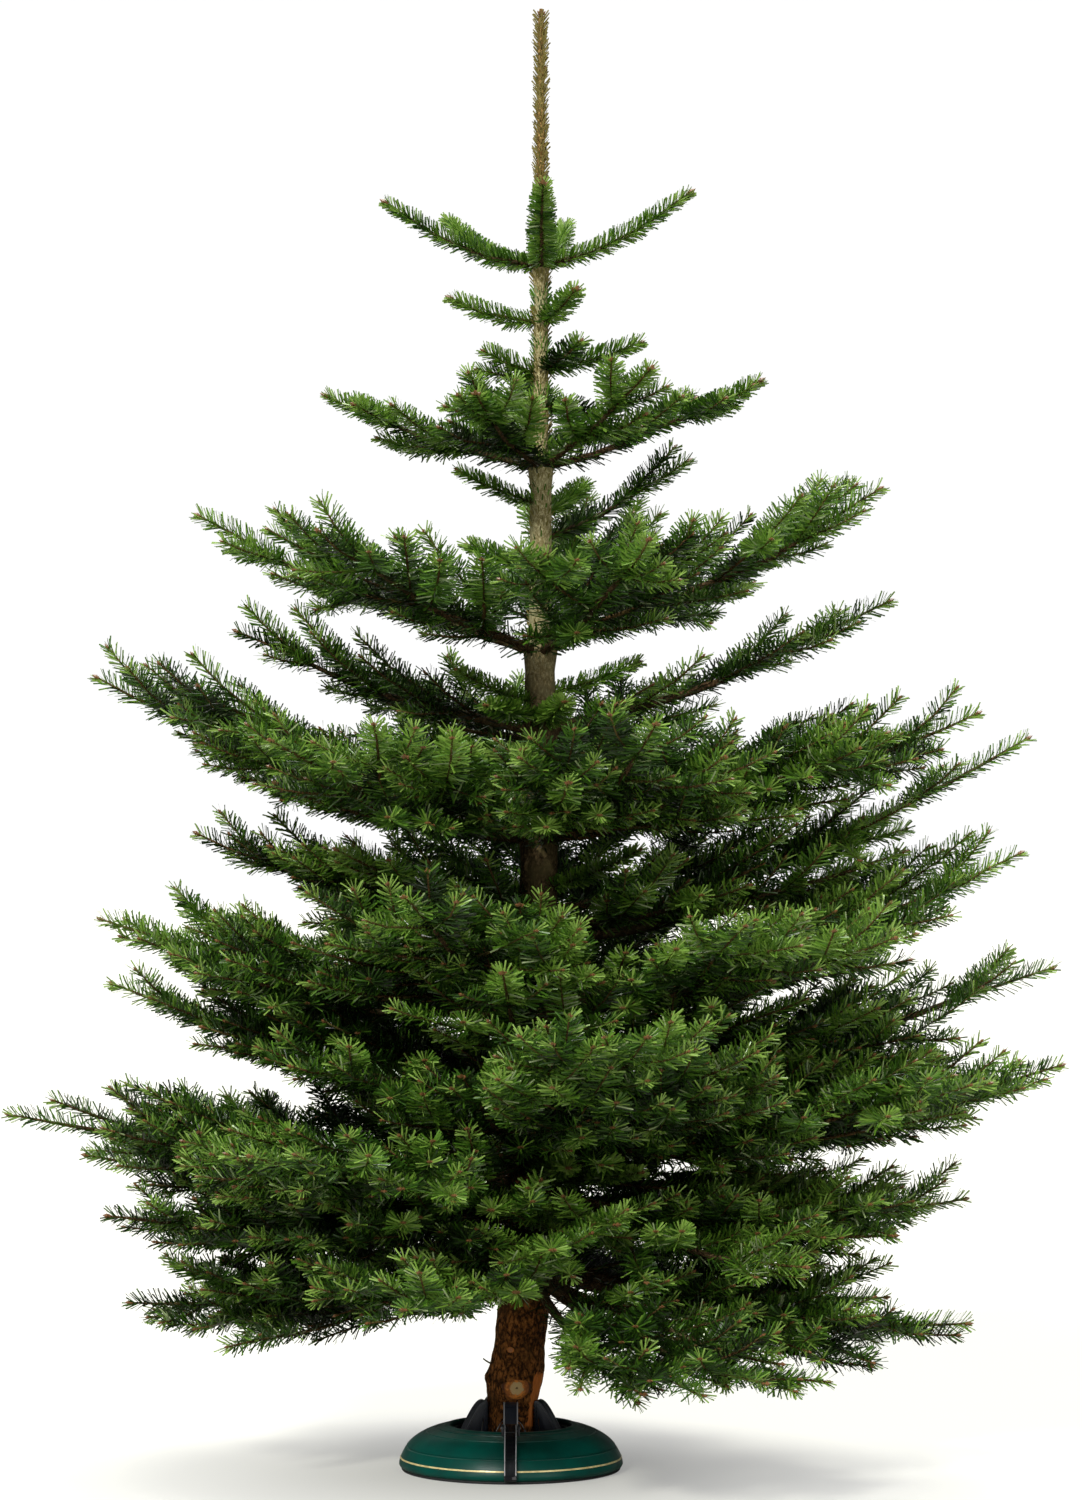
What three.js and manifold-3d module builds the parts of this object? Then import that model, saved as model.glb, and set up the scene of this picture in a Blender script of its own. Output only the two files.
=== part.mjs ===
// A cut Nordmann fir, about 2.3 m tall, standing in a one-cable tree stand: a trunk with whorls of
// boughs, the masses of needles that the boughs carry, and a domed water stand with five claws
// and a foot pedal. Millimetres, +Z up. The origin is the middle of the stand's underside, and
// the side seen from the front faces -Y.

import * as THREE from 'three';
import { mergeVertices } from 'three/addons/utils/BufferGeometryUtils.js';
import Module from 'manifold-3d';

const wasm = await Module();
wasm.setup();

// ---------------------------------------------------------------- driving dimensions

const TREE_HEIGHT = 2338; // floor to the tip of the leader
const STAND_RADIUS = 179; // outside of the stand's skirt
const GAP = 0.35; // clearance that touching pieces keep
const SLIVER = 0.05; // faces finer than this are merged away after a cut

// The stem stands upright in the stand and sweeps over to +X above it.
const SWEEP = 48; // how far the stem ends up to the side
const SWEEP_START = 90; // height at which it starts
const SWEEP_OVER = 330; // height over which most of it happens
const BUTT_HEIGHT = 16; // the flat saw cut, above the floor

// Radius of the stem at each of these heights: the butt, the pruned collar, each whorl, the leader.
const STEM_RADII = [
  [BUTT_HEIGHT, 39], [100, 40.5], [148, 44.5], [196, 41], [325, 39.5], [510, 36.5], [735, 33],
  [1010, 28.5], [1302, 23.5], [1330, 19], [1600, 16], [1626, 12.5], [1922, 10.5], [1948, 7.2],
  [2270, 5.4], [2322, 5.6], [TREE_HEIGHT, 3],
];

const rad = THREE.MathUtils.degToRad;

// ---------------------------------------------------------------- materials

const finish = (color, roughness, metalness = 0) =>
  new THREE.MeshStandardMaterial({ color, roughness, metalness });
const BARK = finish(0x5d4527, 0.85);
const NEEDLES = finish(0x24370f, 0.6);
const GREEN_PLASTIC = finish(0x0b3b2f, 0.35);
const BLACK_PLASTIC = finish(0x14161a, 0.4);

// ---------------------------------------------------------------- solids

// A closed geometry as a solid that can be joined and cut.
function solid(geometry) {
  const bare = geometry.index ? geometry.toNonIndexed() : geometry.clone();
  for (const name of Object.keys(bare.attributes)) {
    if (name !== 'position') bare.deleteAttribute(name);
  }
  const merged = mergeVertices(bare, 1e-3);
  return new wasm.Manifold(new wasm.Mesh({
    numProp: 3,
    vertProperties: merged.attributes.position.array,
    triVerts: new Uint32Array(merged.index.array),
  }));
}

// The largest single body of a solid, so that a cut never leaves crumbs.
function largest(made) {
  const bodies = made.decompose();
  return bodies.reduce((best, body) => (body.volume() > best.volume() ? body : best)).simplify(SLIVER);
}

const group = new THREE.Group();

function place(name, made, material) {
  const mesh = made.getMesh();
  const geometry = new THREE.BufferGeometry();
  const points = new Float32Array(mesh.numVert * 3);
  for (let i = 0; i < mesh.numVert; i++) {
    points.set(mesh.vertProperties.subarray(i * mesh.numProp, i * mesh.numProp + 3), i * 3);
  }
  geometry.setAttribute('position', new THREE.BufferAttribute(points, 3));
  geometry.setIndex(new THREE.BufferAttribute(mesh.triVerts, 1));
  geometry.computeVertexNormals();
  const piece = new THREE.Mesh(geometry, material);
  piece.name = name;
  group.add(piece);
}

// A cylinder whose every vertex is put in place by at(t, angle, share): t runs from one end to the
// other, angle goes round the section, and share is 0 at the middle of an end face and 1 on the wall.
function sculpt(sides, steps, at) {
  const blank = new THREE.CylinderGeometry(1, 1, 1, sides, steps);
  const points = blank.attributes.position;
  for (let i = 0; i < points.count; i++) {
    const share = Math.min(1, Math.hypot(points.getX(i), points.getZ(i)));
    const angle = Math.atan2(points.getZ(i), points.getX(i));
    const p = at(points.getY(i) + 0.5, angle, share);
    points.setXYZ(i, p.x, p.y, p.z);
  }
  const made = solid(blank);
  return made.volume() < 0 ? solid(flipped(blank)) : made;
}

function flipped(geometry) {
  const turned = geometry.toNonIndexed();
  const p = turned.attributes.position.array;
  for (let i = 0; i < p.length; i += 9) {
    for (let k = 0; k < 3; k++) [p[i + 3 + k], p[i + 6 + k]] = [p[i + 6 + k], p[i + 3 + k]];
  }
  return turned;
}

// ---------------------------------------------------------------- the trunk

function stemAxis(height) {
  const over = Math.max(0, height - SWEEP_START);
  return new THREE.Vector3(SWEEP * (1 - Math.exp(-over / SWEEP_OVER)), 0, height);
}

function stemRadius(height) {
  const above = STEM_RADII.findIndex(([h]) => h >= height);
  if (above <= 0) return STEM_RADII[0][1];
  const [h0, r0] = STEM_RADII[above - 1];
  const [h1, r1] = STEM_RADII[above];
  return THREE.MathUtils.lerp(r0, r1, (height - h0) / (h1 - h0));
}

// The stem has a ring of vertices at each height of the table, and one more halfway up the
// longest stretches, so that its taper and sweep come out right.
function stem(extra = 0) {
  const heights = [];
  STEM_RADII.forEach(([h], i) => {
    const [before] = STEM_RADII[Math.max(0, i - 1)];
    if (h - before > 260) heights.push((h + before) / 2);
    heights.push(h);
  });
  return sculpt(10, heights.length - 1, (t, angle, share) => {
    const h = heights[Math.round(t * (heights.length - 1))];
    const r = (stemRadius(h) + extra) * share;
    return stemAxis(h).add(new THREE.Vector3(r * Math.cos(angle), r * Math.sin(angle), 0));
  });
}

// ---------------------------------------------------------------- the crown

// Every limb leaves the stem at a height and bears away at a compass angle (0 is +X, 90 is +Y, and
// 270 faces the front). reach is the level distance from the stem to its tip and climb is how
// much higher the tip is than its foot: limbs are [angle, reach, climb]. bare is the share of
// the reach that shows as a bough without foliage. spread is the half width of the foliage as a
// share of the reach, and depth its half thickness.
const CROWN = [
  { tier: 'tier1', height: 1922, bare: 0, spread: 0.07, depth: 19, limbs: {
    left: [180, 253, 105], back_left: [130, 255, 100], right: [0, 242, 122],
    front: [272, 235, 112], back: [78, 200, 94] } },
  { tier: 'link1', height: 1832, bare: 0, spread: 0.13, depth: 18, limbs: {
    left: [178, 150, 46], front_right: [300, 110, 54] } },
  { tier: 'tier2', height: 1600, bare: 0, spread: 0.4, depth: 42, limbs: {
    left: [183, 348, 122], front_left: [246, 300, 108], front_right: [302, 320, 148],
    right: [356, 356, 146], back: [100, 330, 140] } },
  { tier: 'link2', height: 1482, bare: 0, spread: 0.2, depth: 34, limbs: {
    right: [28, 268, 146] } },
  { tier: 'tier3', height: 1302, bare: 0.22, spread: 0.46, depth: 56, limbs: {
    left: [176, 556, 232], front_left: [229, 520, 190], front: [286, 520, 172],
    right: [352, 552, 268], back: [75, 550, 250] } },
  { tier: 'link3', height: 1176, bare: 0, spread: 0.22, depth: 44, limbs: {
    left: [170, 502, 172], right: [8, 575, 222] } },
  { tier: 'tier4', height: 1010, bare: 0, spread: 0.46, depth: 64, limbs: {
    left: [180, 712, 264], front_left: [232, 660, 160], front: [288, 640, 185],
    right: [356, 705, 205], back: [92, 690, 200] } },
  { tier: 'link4', height: 850, bare: 0, spread: 0.3, depth: 56, limbs: {
    left: [172, 560, 172], right: [10, 812, 326] } },
  { tier: 'tier5', height: 735, bare: 0, spread: 0.46, depth: 66, limbs: {
    left: [184, 700, 152], front: [252, 650, 205], front_right: [316, 770, 140],
    right: [356, 780, 258], back: [98, 720, 160] } },
  { tier: 'link5', height: 620, bare: 0, spread: 0.34, depth: 54, limbs: {
    left: [174, 694, 158], right: [6, 850, 182] } },
  { tier: 'tier6', height: 510, bare: 0, spread: 0.46, depth: 62, limbs: {
    left: [176, 856, 53], front_left: [236, 730, 40], front: [284, 680, 225],
    right: [348, 850, 150], back: [98, 740, 100] } },
  { tier: 'link6', height: 408, bare: 0, spread: 0.4, depth: 54, limbs: {
    left: [196, 700, 20], right: [2, 705, 25] } },
  { tier: 'tier7', height: 325, bare: 0, spread: 0.46, depth: 60, limbs: {
    left: [184, 640, -50], front: [252, 610, -5], front_right: [300, 700, -115],
    right: [350, 715, -80], back: [86, 690, -40] } },
];

const limbs = CROWN.flatMap((tier) => Object.entries(tier.limbs).map(([name, [angle, reach, climb]]) => (
  { ...tier, name: `${tier.tier}_${name}`, angle, reach, climb })));

const SHOOT_WIDTH = 19; // half width of a single shoot with its needles
const SEAT = 28; // how far a bough reaches into its foliage
const UNEVEN = 0.1;

function bearing(limb) {
  return new THREE.Vector3(Math.cos(rad(limb.angle)), Math.sin(rad(limb.angle)), 0);
}

// A limb leaves the stem a little flatter than it ends, with a slight sag where it is heaviest.
function limbAt(limb, share) {
  const sag = limb.reach * 0.045 * Math.sin(Math.PI * share);
  return stemAxis(limb.height)
    .addScaledVector(bearing(limb), limb.reach * share)
    .add(new THREE.Vector3(0, 0, limb.climb * share - sag));
}

// The frame of a limb's section: sideways on the level, and up at right angles to the limb.
function sectionAt(limb, share, wide, high) {
  const along = limbAt(limb, Math.min(1, share + 0.01)).sub(limbAt(limb, share - 0.01)).normalize();
  const side = new THREE.Vector3().crossVectors(new THREE.Vector3(0, 0, 1), along).normalize();
  const up = new THREE.Vector3().crossVectors(along, side);
  return limbAt(limb, share).addScaledVector(side, wide).addScaledVector(up, high);
}

function boughRadius(limb, share) {
  return (0.0125 * limb.reach + 4) * (1 - 0.75 * share);
}

function bough(limb, extra = 0) {
  const end = limb.bare + SEAT / limb.reach;
  return sculpt(7, 3, (t, angle, share) => {
    const along = t * end + (t === 1 ? extra / limb.reach : 0);
    const r = (boughRadius(limb, along) + extra) * share;
    return sectionAt(limb, along, r * Math.cos(angle), r * Math.sin(angle));
  });
}

// Foliage widens from the foot of the limb, is widest past its middle and runs out into the one
// shoot that ends it.
function foliage(limb, extra = 0) {
  const wide = limb.spread * limb.reach > 2 * SHOOT_WIDTH;
  const start = limb.bare || (0.7 * stemRadius(limb.height)) / limb.reach;
  const full = limb.spread * limb.reach;
  const made = sculpt(wide ? 8 : 6, wide ? 6 : 4, (t, angle, share) => {
    const beyond = t === 1 ? extra : t === 0 ? -extra : 0;
    const along = start + (1 - start) * t + beyond / limb.reach;
    const swell = Math.sin(Math.PI * Math.min(1, 0.08 + 0.94 * t ** 1.15)) ** 0.6;
    const taper = t > 0.97 ? 0.45 : 1;
    const width = wide ? SHOOT_WIDTH + (full - SHOOT_WIDTH) * swell : full;
    const height = wide ? SHOOT_WIDTH + (limb.depth - SHOOT_WIDTH) * swell : limb.depth;
    const lump = 1 + UNEVEN * Math.sin(3 * angle + 11 * t + limb.angle)
      + UNEVEN * Math.sin(2 * angle - 7 * t + limb.height);
    const r = share * taper * lump;
    return sectionAt(limb, along,
      (width * r + extra * share) * Math.cos(angle), (height * r + extra * share) * Math.sin(angle));
  });
  return wide ? parted(made, limb, extra) : made;
}

// Neighbours in a whorl meet at the upright plane halfway between their limbs.
function parted(made, limb, extra) {
  const turns = limbs.filter((other) => other.tier === limb.tier && other !== limb)
    .map((other) => (other.angle - limb.angle + 360) % 360);
  const halfTurns = [Math.min(...turns) / 2, -(360 - Math.max(...turns)) / 2];
  return halfTurns.filter((turn) => Math.abs(turn) < 75).reduce((kept, turn) => {
    const across = rad(limb.angle + turn - Math.sign(turn) * 90);
    const normal = new THREE.Vector3(Math.cos(across), Math.sin(across), 0);
    const offset = normal.dot(stemAxis(limb.height)) + GAP / 2 - extra;
    return kept.trimByPlane(normal.toArray(), offset);
  }, made);
}

const touches = (a, b) => {
  const [p, q] = [a.boundingBox(), b.boundingBox()];
  return [0, 1, 2].every((k) => p.min[k] < q.max[k] && q.min[k] < p.max[k]);
};

const trunk = stem();
const trunkRoom = stem(GAP);
const taken = [trunkRoom];

for (const limb of limbs.filter((one) => one.bare)) {
  place(`bough_${limb.name}`, largest(bough(limb).subtract(trunkRoom)), BARK);
  taken.push(bough(limb, GAP));
}
for (const limb of limbs) {
  const made = foliage(limb);
  const cut = taken.filter((other) => touches(made, other)).reduce((left, other) => left.subtract(other), made);
  place(`foliage_${limb.name}`, largest(cut), NEEDLES);
  taken.push(foliage(limb, GAP));
}

// ---------------------------------------------------------------- the stand

const FACETS = 24;
const FOOT_HEIGHT = 5; // bevel under the skirt
const FOOT_RADIUS = 173;
const FLOOR_HEIGHT = 8;
const MOUTH_RADIUS = 97; // the filling mouth, where the trunk goes in
const RIM_HEIGHT = 72;

// A ring or bowl turned about the upright axis from an outline of [radius, height] points.
function turned(outline) {
  const points = outline.map(([r, z]) => new THREE.Vector2(r, z));
  const made = new THREE.LatheGeometry(points, FACETS);
  made.rotateX(Math.PI / 2);
  const ring = solid(made);
  return ring.volume() < 0 ? solid(flipped(made)) : ring;
}

// The dome's outside, from the bottom of the skirt up to the rim of the mouth.
const DOME = [[STAND_RADIUS, 9], [176.5, 20], [168, 37], [155, 50], [138, 60], [118, 68],
  [100, RIM_HEIGHT], [MOUTH_RADIUS, 69]];

function domeWall(extra = 0) {
  const outside = DOME.map(([r, z]) => [r + extra * 0.7, z + extra]);
  const inside = [[MOUTH_RADIUS, 65], [117, 63], [136, 56], [151.5, 47], [164, 35], [172.5, 19],
    [173, FLOOR_HEIGHT]];
  return [...outside, ...inside];
}

// The water tank is a hollow dome with a flat floor. Its mouth is the only opening.
function waterTank(extra = 0) {
  return turned([[0, 0], [FOOT_RADIUS, 0], [STAND_RADIUS - 4, FOOT_HEIGHT],
    ...domeWall(extra), [38, FLOOR_HEIGHT], [36, BUTT_HEIGHT - GAP], [0, BUTT_HEIGHT - GAP]]).add(spike());
}

// The spike in the middle of the tank's floor, which the butt is set on.
function spike(extra = 0) {
  return turned([[0, FLOOR_HEIGHT - 2], [6 + extra, FLOOR_HEIGHT - 2], [6 + extra, BUTT_HEIGHT],
    [5 + extra, BUTT_HEIGHT + 4 + extra], [0, BUTT_HEIGHT + 18 + extra]]);
}

const CLAW_COUNT = 5;
const CLAW_THICKNESS = 24;
const PIVOT = [79, 50]; // [radius, height] of each claw's pin
const PIN_RADIUS = 3.5;
const PIN_CLEARANCE = 0.25;
const EAR = { thickness: 4, clearance: 0.6, outer: 92, low: 42, high: 60 };
const RING = { inner: 90, outer: 96.5, low: 42, high: 64.7 };

// An outline in the upright plane through the axis, drawn as [radius, height], made as thick as
// asked and turned to a compass angle.
function upright(outline, thickness, angle, holes = []) {
  const shape = new THREE.Shape(outline.map(([r, z]) => new THREE.Vector2(r, z)));
  holes.forEach(([r, z, radius]) => shape.holes.push(new THREE.Path().absarc(r, z, radius, 0, 2 * Math.PI)));
  const made = new THREE.ExtrudeGeometry(shape, { depth: thickness, bevelEnabled: false, curveSegments: 10 });
  made.translate(0, 0, -thickness / 2);
  made.rotateX(Math.PI / 2);
  made.rotateZ(rad(angle));
  return solid(made);
}

// A round pin through [radius, height], level and at right angles to a compass angle.
function pin([r, z], radius, length, angle) {
  const made = new THREE.CylinderGeometry(radius, radius, length, 10);
  made.translate(r, 0, z);
  made.rotateZ(rad(angle));
  return solid(made);
}

// The fin of a claw: an eye round the pin, a curved back, and a face that bears on the trunk.
const CLAW = [[36, 60], [60, 50], [72, 43.5], [79, 42], [85.5, 45.5], [87, 52], [82, 63], [74, 78],
  [65, 94], [57, 106], [50, 112], [44, 112.5], [36, 108]];

const clawAngle = (n) => 270 + (n * 360) / CLAW_COUNT;

function clawRing() {
  let made = turned([[RING.inner, RING.low], [RING.outer, RING.low], [RING.outer, RING.high],
    [RING.inner, RING.high], [RING.inner, RING.low]]);
  const reach = CLAW_THICKNESS / 2 + EAR.clearance;
  for (let n = 0; n < CLAW_COUNT; n++) {
    const angle = clawAngle(n);
    const ears = upright([[PIVOT[0] - 8, EAR.low], [EAR.outer, EAR.low], [EAR.outer, EAR.high],
      [PIVOT[0] - 4, EAR.high]], 2 * (reach + EAR.thickness), angle);
    const slot = upright([[60, 30], [RING.inner - 0.2, 30], [RING.inner - 0.2, 80], [60, 80]], 2 * reach, angle);
    made = made.add(ears.subtract(slot)).add(pin(PIVOT, PIN_RADIUS, 2 * (reach + 1), angle));
  }
  return made;
}

place('trunk', trunk.subtract(spike(GAP)), BARK);
place('stand_claw_ring', clawRing(), BLACK_PLASTIC);
for (let n = 0; n < CLAW_COUNT; n++) {
  const fin = upright(CLAW, CLAW_THICKNESS, clawAngle(n), [[...PIVOT, PIN_RADIUS + PIN_CLEARANCE]]);
  place(`stand_claw_${n + 1}`, largest(fin.subtract(trunkRoom)), BLACK_PLASTIC);
}

// The foot pedal lies down the front of the dome. It turns on a pin between two ears on the rim.
const PEDAL_ANGLE = 270;
const PEDAL_PIVOT = [109, 80];
const PEDAL_WIDTH = 20;
const PEDAL = [[104, 80], [105, 84.5], [109, 86], [118, 83], [136, 75], [154, 65], [170, 50], [180, 33],
  [185.5, 18], [188, 6], [187, 2.5], [181.5, 2.5], [180.5, 14], [177.5, 24], [169.5, 39], [156, 52],
  [138.5, 62.5], [120.5, 70], [112, 74], [106, 75.5]];

function pedalHinge() {
  const reach = PEDAL_WIDTH / 2 + EAR.clearance;
  const block = upright([[99, 69], [117, 66], [116, 78], [113, 85.5], [105, 85.5], [101, 78]],
    2 * (reach + EAR.thickness), PEDAL_ANGLE);
  const room = upright([[90, 73.6], [112, 73.2], [121, 69.5], [121, 100], [90, 100]], 2 * reach, PEDAL_ANGLE);
  return block.subtract(room).add(pin(PEDAL_PIVOT, PIN_RADIUS, 2 * (reach + 1), PEDAL_ANGLE));
}
place('stand_bowl', waterTank().add(pedalHinge()), GREEN_PLASTIC);
place('stand_pedal', upright(PEDAL, PEDAL_WIDTH, PEDAL_ANGLE, [[...PEDAL_PIVOT, PIN_RADIUS + PIN_CLEARANCE]]),
  BLACK_PLASTIC);

export default group;
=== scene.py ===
import math

import bmesh
import bpy
import numpy as np
from mathutils import Matrix, Vector, noise


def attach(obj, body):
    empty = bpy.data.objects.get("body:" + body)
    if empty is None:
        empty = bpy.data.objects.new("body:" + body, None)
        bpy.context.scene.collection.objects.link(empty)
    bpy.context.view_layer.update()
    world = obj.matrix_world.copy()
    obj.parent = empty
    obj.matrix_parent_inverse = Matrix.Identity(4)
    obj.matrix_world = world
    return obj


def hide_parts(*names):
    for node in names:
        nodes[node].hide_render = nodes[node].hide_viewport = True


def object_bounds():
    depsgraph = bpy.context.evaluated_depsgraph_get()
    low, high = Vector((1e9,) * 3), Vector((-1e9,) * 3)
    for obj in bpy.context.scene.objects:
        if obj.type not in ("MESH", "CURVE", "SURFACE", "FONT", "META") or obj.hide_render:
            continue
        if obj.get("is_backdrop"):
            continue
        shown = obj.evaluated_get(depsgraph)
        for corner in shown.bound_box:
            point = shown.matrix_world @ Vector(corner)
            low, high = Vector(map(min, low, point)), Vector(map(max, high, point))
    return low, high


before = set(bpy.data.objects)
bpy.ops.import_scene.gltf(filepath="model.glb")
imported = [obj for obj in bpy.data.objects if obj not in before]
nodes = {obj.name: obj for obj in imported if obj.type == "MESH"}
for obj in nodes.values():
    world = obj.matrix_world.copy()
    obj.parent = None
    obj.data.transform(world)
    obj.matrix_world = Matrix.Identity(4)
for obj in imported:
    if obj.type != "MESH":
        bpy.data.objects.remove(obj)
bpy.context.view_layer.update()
bpy.ops.object.select_all(action="DESELECT")


# ---------------------------------------------------------------- camera, floor and light
# A studio corner: a camera level with the tree's middle, eight metres off, a pale floor, wide
# soft lights above, front left, front right and behind, and a strip box to each side.

VIEW_DISTANCE = 8.0
VIEW_HEIGHT = 1.15
VIEW_SIDE = 0.048
VIEW_TALL = 2.4  # height that the frame takes in at the trunk
SENSOR_HEIGHT = 24.0
camera_data = bpy.data.cameras.new("camera")
camera_data.sensor_fit = "VERTICAL"
camera_data.sensor_height = SENSOR_HEIGHT
camera_data.lens = SENSOR_HEIGHT * VIEW_DISTANCE / VIEW_TALL
camera = bpy.data.objects.new("camera", camera_data)
camera.location = (VIEW_SIDE, -VIEW_DISTANCE, VIEW_HEIGHT)
camera.rotation_euler = (math.pi / 2, 0, 0)
bpy.context.scene.collection.objects.link(camera)
bpy.context.scene.camera = camera


def new_material(name):
    """A new material, its node tree and its Principled shader."""
    made = bpy.data.materials.new(name)
    made.use_nodes = True
    return made, made.node_tree, made.node_tree.nodes["Principled BSDF"]


def set_inputs(node, values):
    """Plain numbers, and colours of three, on a node's sockets by their labels."""
    for label, value in values.items():
        node.inputs[label].default_value = (*value, 1) if isinstance(value, tuple) else value


def ramp_by(tree, value, low, high, to_low=0.0, to_high=1.0, shape="SMOOTHSTEP"):
    """A value carried from one range to another, held at the ends."""
    made = tree.nodes.new("ShaderNodeMapRange")
    made.interpolation_type = shape
    set_inputs(made, {"From Min": low, "From Max": high, "To Min": to_low, "To Max": to_high})
    tree.links.new(value, made.inputs["Value"])
    return made.outputs["Result"]


def combine(tree, operation, first, second):
    """The sum, product or other join of two values, either of which may be a plain number."""
    made = tree.nodes.new("ShaderNodeMath")
    made.operation = operation
    for source, target in ((first, made.inputs[0]), (second, made.inputs[1])):
        if isinstance(source, (int, float)):
            target.default_value = source
        else:
            tree.links.new(source, target)
    return made.outputs["Value"]


def vector_by(tree, operation, vector, other=(0, 0, 0)):
    """A vector's length, or its dot product with a plain vector, or the difference from it."""
    made = tree.nodes.new("ShaderNodeVectorMath")
    made.operation = operation
    made.inputs[1].default_value = other
    tree.links.new(vector, made.inputs[0])
    return made.outputs["Vector" if operation == "SUBTRACT" else "Value"]


walls = bpy.data.worlds.new("white_walls")
bpy.context.scene.world = walls
walls.use_nodes = True
tree = walls.node_tree
backdrop = tree.nodes["Background"]
set_inputs(backdrop, {"Color": (1.0, 1.0, 1.0)})
# the walls look white, and throw only a little light
seen = tree.nodes.new("ShaderNodeLightPath").outputs["Is Camera Ray"]
tree.links.new(ramp_by(tree, seen, 0.0, 1.0, 0.08, 1.02, "LINEAR"), backdrop.inputs["Strength"])
bpy.context.scene.view_settings.view_transform = "Standard"

# The wide soft lights: name, strength, and in degrees the light's width, its tilt and its turn.
SOFT_LIGHTS = [("softbox_above", 2.8, 34, -11, -30), ("softbox_front", 2.9, 9, 55, -24),
               ("softbox_low", 0.6, 40, 70, 26), ("back_light", 0.5, 25, -45, 28)]
for name, power, spread, tilt, turn in SOFT_LIGHTS:
    box_data = bpy.data.lights.new(name, "SUN")
    box_data.energy = power
    box_data.angle = math.radians(spread)
    box_data.color = (1.0, 0.985, 0.95)
    box = bpy.data.objects.new(name, box_data)
    box.rotation_euler = (math.radians(tilt), 0, math.radians(turn))
    bpy.context.scene.collection.objects.link(box)

# The strip boxes stand upright to both sides, forward of the tree and turned to it.
STRIP_FORWARD = 3.1
for side, away in ((-1, 2.7), (1, 2.9)):
    strip_data = bpy.data.lights.new("strip_box", "AREA")
    strip_data.shape = "RECTANGLE"
    strip_data.size = 0.2
    strip_data.size_y = 2.4
    strip_data.energy = 17
    strip = bpy.data.objects.new("strip_box", strip_data)
    strip.location = (side * away, -STRIP_FORWARD, 1.25)
    strip.rotation_euler = (math.pi / 2, 0, side * math.atan2(away, STRIP_FORWARD))
    strip.visible_camera = False
    bpy.context.scene.collection.objects.link(strip)

bpy.ops.mesh.primitive_plane_add(size=60, location=(0, 0, -0.0005))
floor = bpy.context.object
floor.name = "studio_floor"
floor_paint, tree, shader = new_material("floor_paint")
set_inputs(shader, {"Base Color": (0.34, 0.34, 0.30), "Roughness": 0.8, "Specular IOR Level": 0.05,
                    "Emission Color": (1.0, 1.0, 0.985)})
# to the camera alone the floor glows like a light table; the glow is weakest round the stand, a painted
# shadow under the tree
seen = tree.nodes.new("ShaderNodeLightPath").outputs["Is Camera Ray"]
away = vector_by(tree, "LENGTH", tree.nodes.new("ShaderNodeTexCoord").outputs["Object"])
glow_with_painted_shadow = ramp_by(tree, away, 0.17, 0.64, 0.30, 0.66, "LINEAR")
tree.links.new(combine(tree, "MULTIPLY", seen, glow_with_painted_shadow), shader.inputs["Emission Strength"])
floor.data.materials.append(floor_paint)
floor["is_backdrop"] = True


# ---------------------------------------------------------------- the trunk
# The stem of a young fir, sawn flat at the butt, with scaly brown bark low down that turns
# smooth and olive towards the leader. It is swollen at every whorl, where the boughs leave it.

SWEEP = 0.048  # how far the stem ends up to the side
SWEEP_START = 0.09
SWEEP_OVER = 0.33  # the height over which most of the sweep happens
STEM_FOOT = 0.016
STEM_TOP = 2.336
# Height and radius of the stem at the butt, the collar over it, each whorl and the leader.
STEM = np.array([
    (STEM_FOOT, 0.0390), (0.100, 0.0405), (0.148, 0.0445), (0.196, 0.0410), (0.325, 0.0395),
    (0.510, 0.0365), (0.735, 0.0330), (1.010, 0.0285), (1.302, 0.0235), (1.330, 0.0190),
    (1.600, 0.0160), (1.626, 0.0125), (1.922, 0.0105), (1.948, 0.0072), (2.270, 0.0054),
    (2.322, 0.0056), (STEM_TOP, 0.0030)])


def stem_axis(height):
    """The middle of the stem at one height or at a row of them."""
    over = np.maximum(0, np.asarray(height, float) - SWEEP_START)
    across = SWEEP * (1 - np.exp(-over / SWEEP_OVER))
    return np.stack([across, np.zeros_like(across), np.asarray(height, float)], axis=-1)


def stem_radius(height):
    """Half the stem's thickness there, without bark relief."""
    return np.interp(height, STEM[:, 0], STEM[:, 1])


# Every whorl: its height on the stem, and the compass angle and reach of each limb, as in the CAD.
WHORLS = {
    "tier1": (1.922, {"left": (180, 0.253), "back_left": (130, 0.255), "right": (0, 0.242),
                      "front": (272, 0.235), "back": (78, 0.200)}),
    "link1": (1.832, {"left": (178, 0.150), "front_right": (300, 0.110)}),
    "tier2": (1.600, {"left": (183, 0.348), "front_left": (246, 0.300), "front_right": (302, 0.320),
                      "right": (356, 0.356), "back": (100, 0.330)}),
    "link2": (1.482, {"right": (28, 0.268)}),
    "tier3": (1.302, {"left": (176, 0.556), "front_left": (229, 0.520), "front": (286, 0.520),
                      "right": (352, 0.552), "back": (75, 0.550)}),
    "link3": (1.176, {"left": (170, 0.502), "right": (8, 0.575)}),
    "tier4": (1.010, {"left": (180, 0.712), "front_left": (232, 0.660), "front": (288, 0.640),
                      "right": (356, 0.705), "back": (92, 0.690)}),
    "link4": (0.850, {"left": (172, 0.560), "right": (10, 0.812)}),
    "tier5": (0.735, {"left": (184, 0.700), "front": (252, 0.650), "front_right": (316, 0.770),
                      "right": (356, 0.780), "back": (98, 0.720)}),
    "link5": (0.620, {"left": (174, 0.694), "right": (6, 0.850)}),
    "tier6": (0.510, {"left": (176, 0.856), "front_left": (236, 0.730), "front": (284, 0.680),
                      "right": (348, 0.850), "back": (98, 0.740)}),
    "link6": (0.408, {"left": (196, 0.700), "right": (2, 0.705)}),
    "tier7": (0.325, {"left": (184, 0.640), "front": (252, 0.610), "front_right": (300, 0.700),
                      "right": (350, 0.715), "back": (86, 0.690)}),
}
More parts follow.
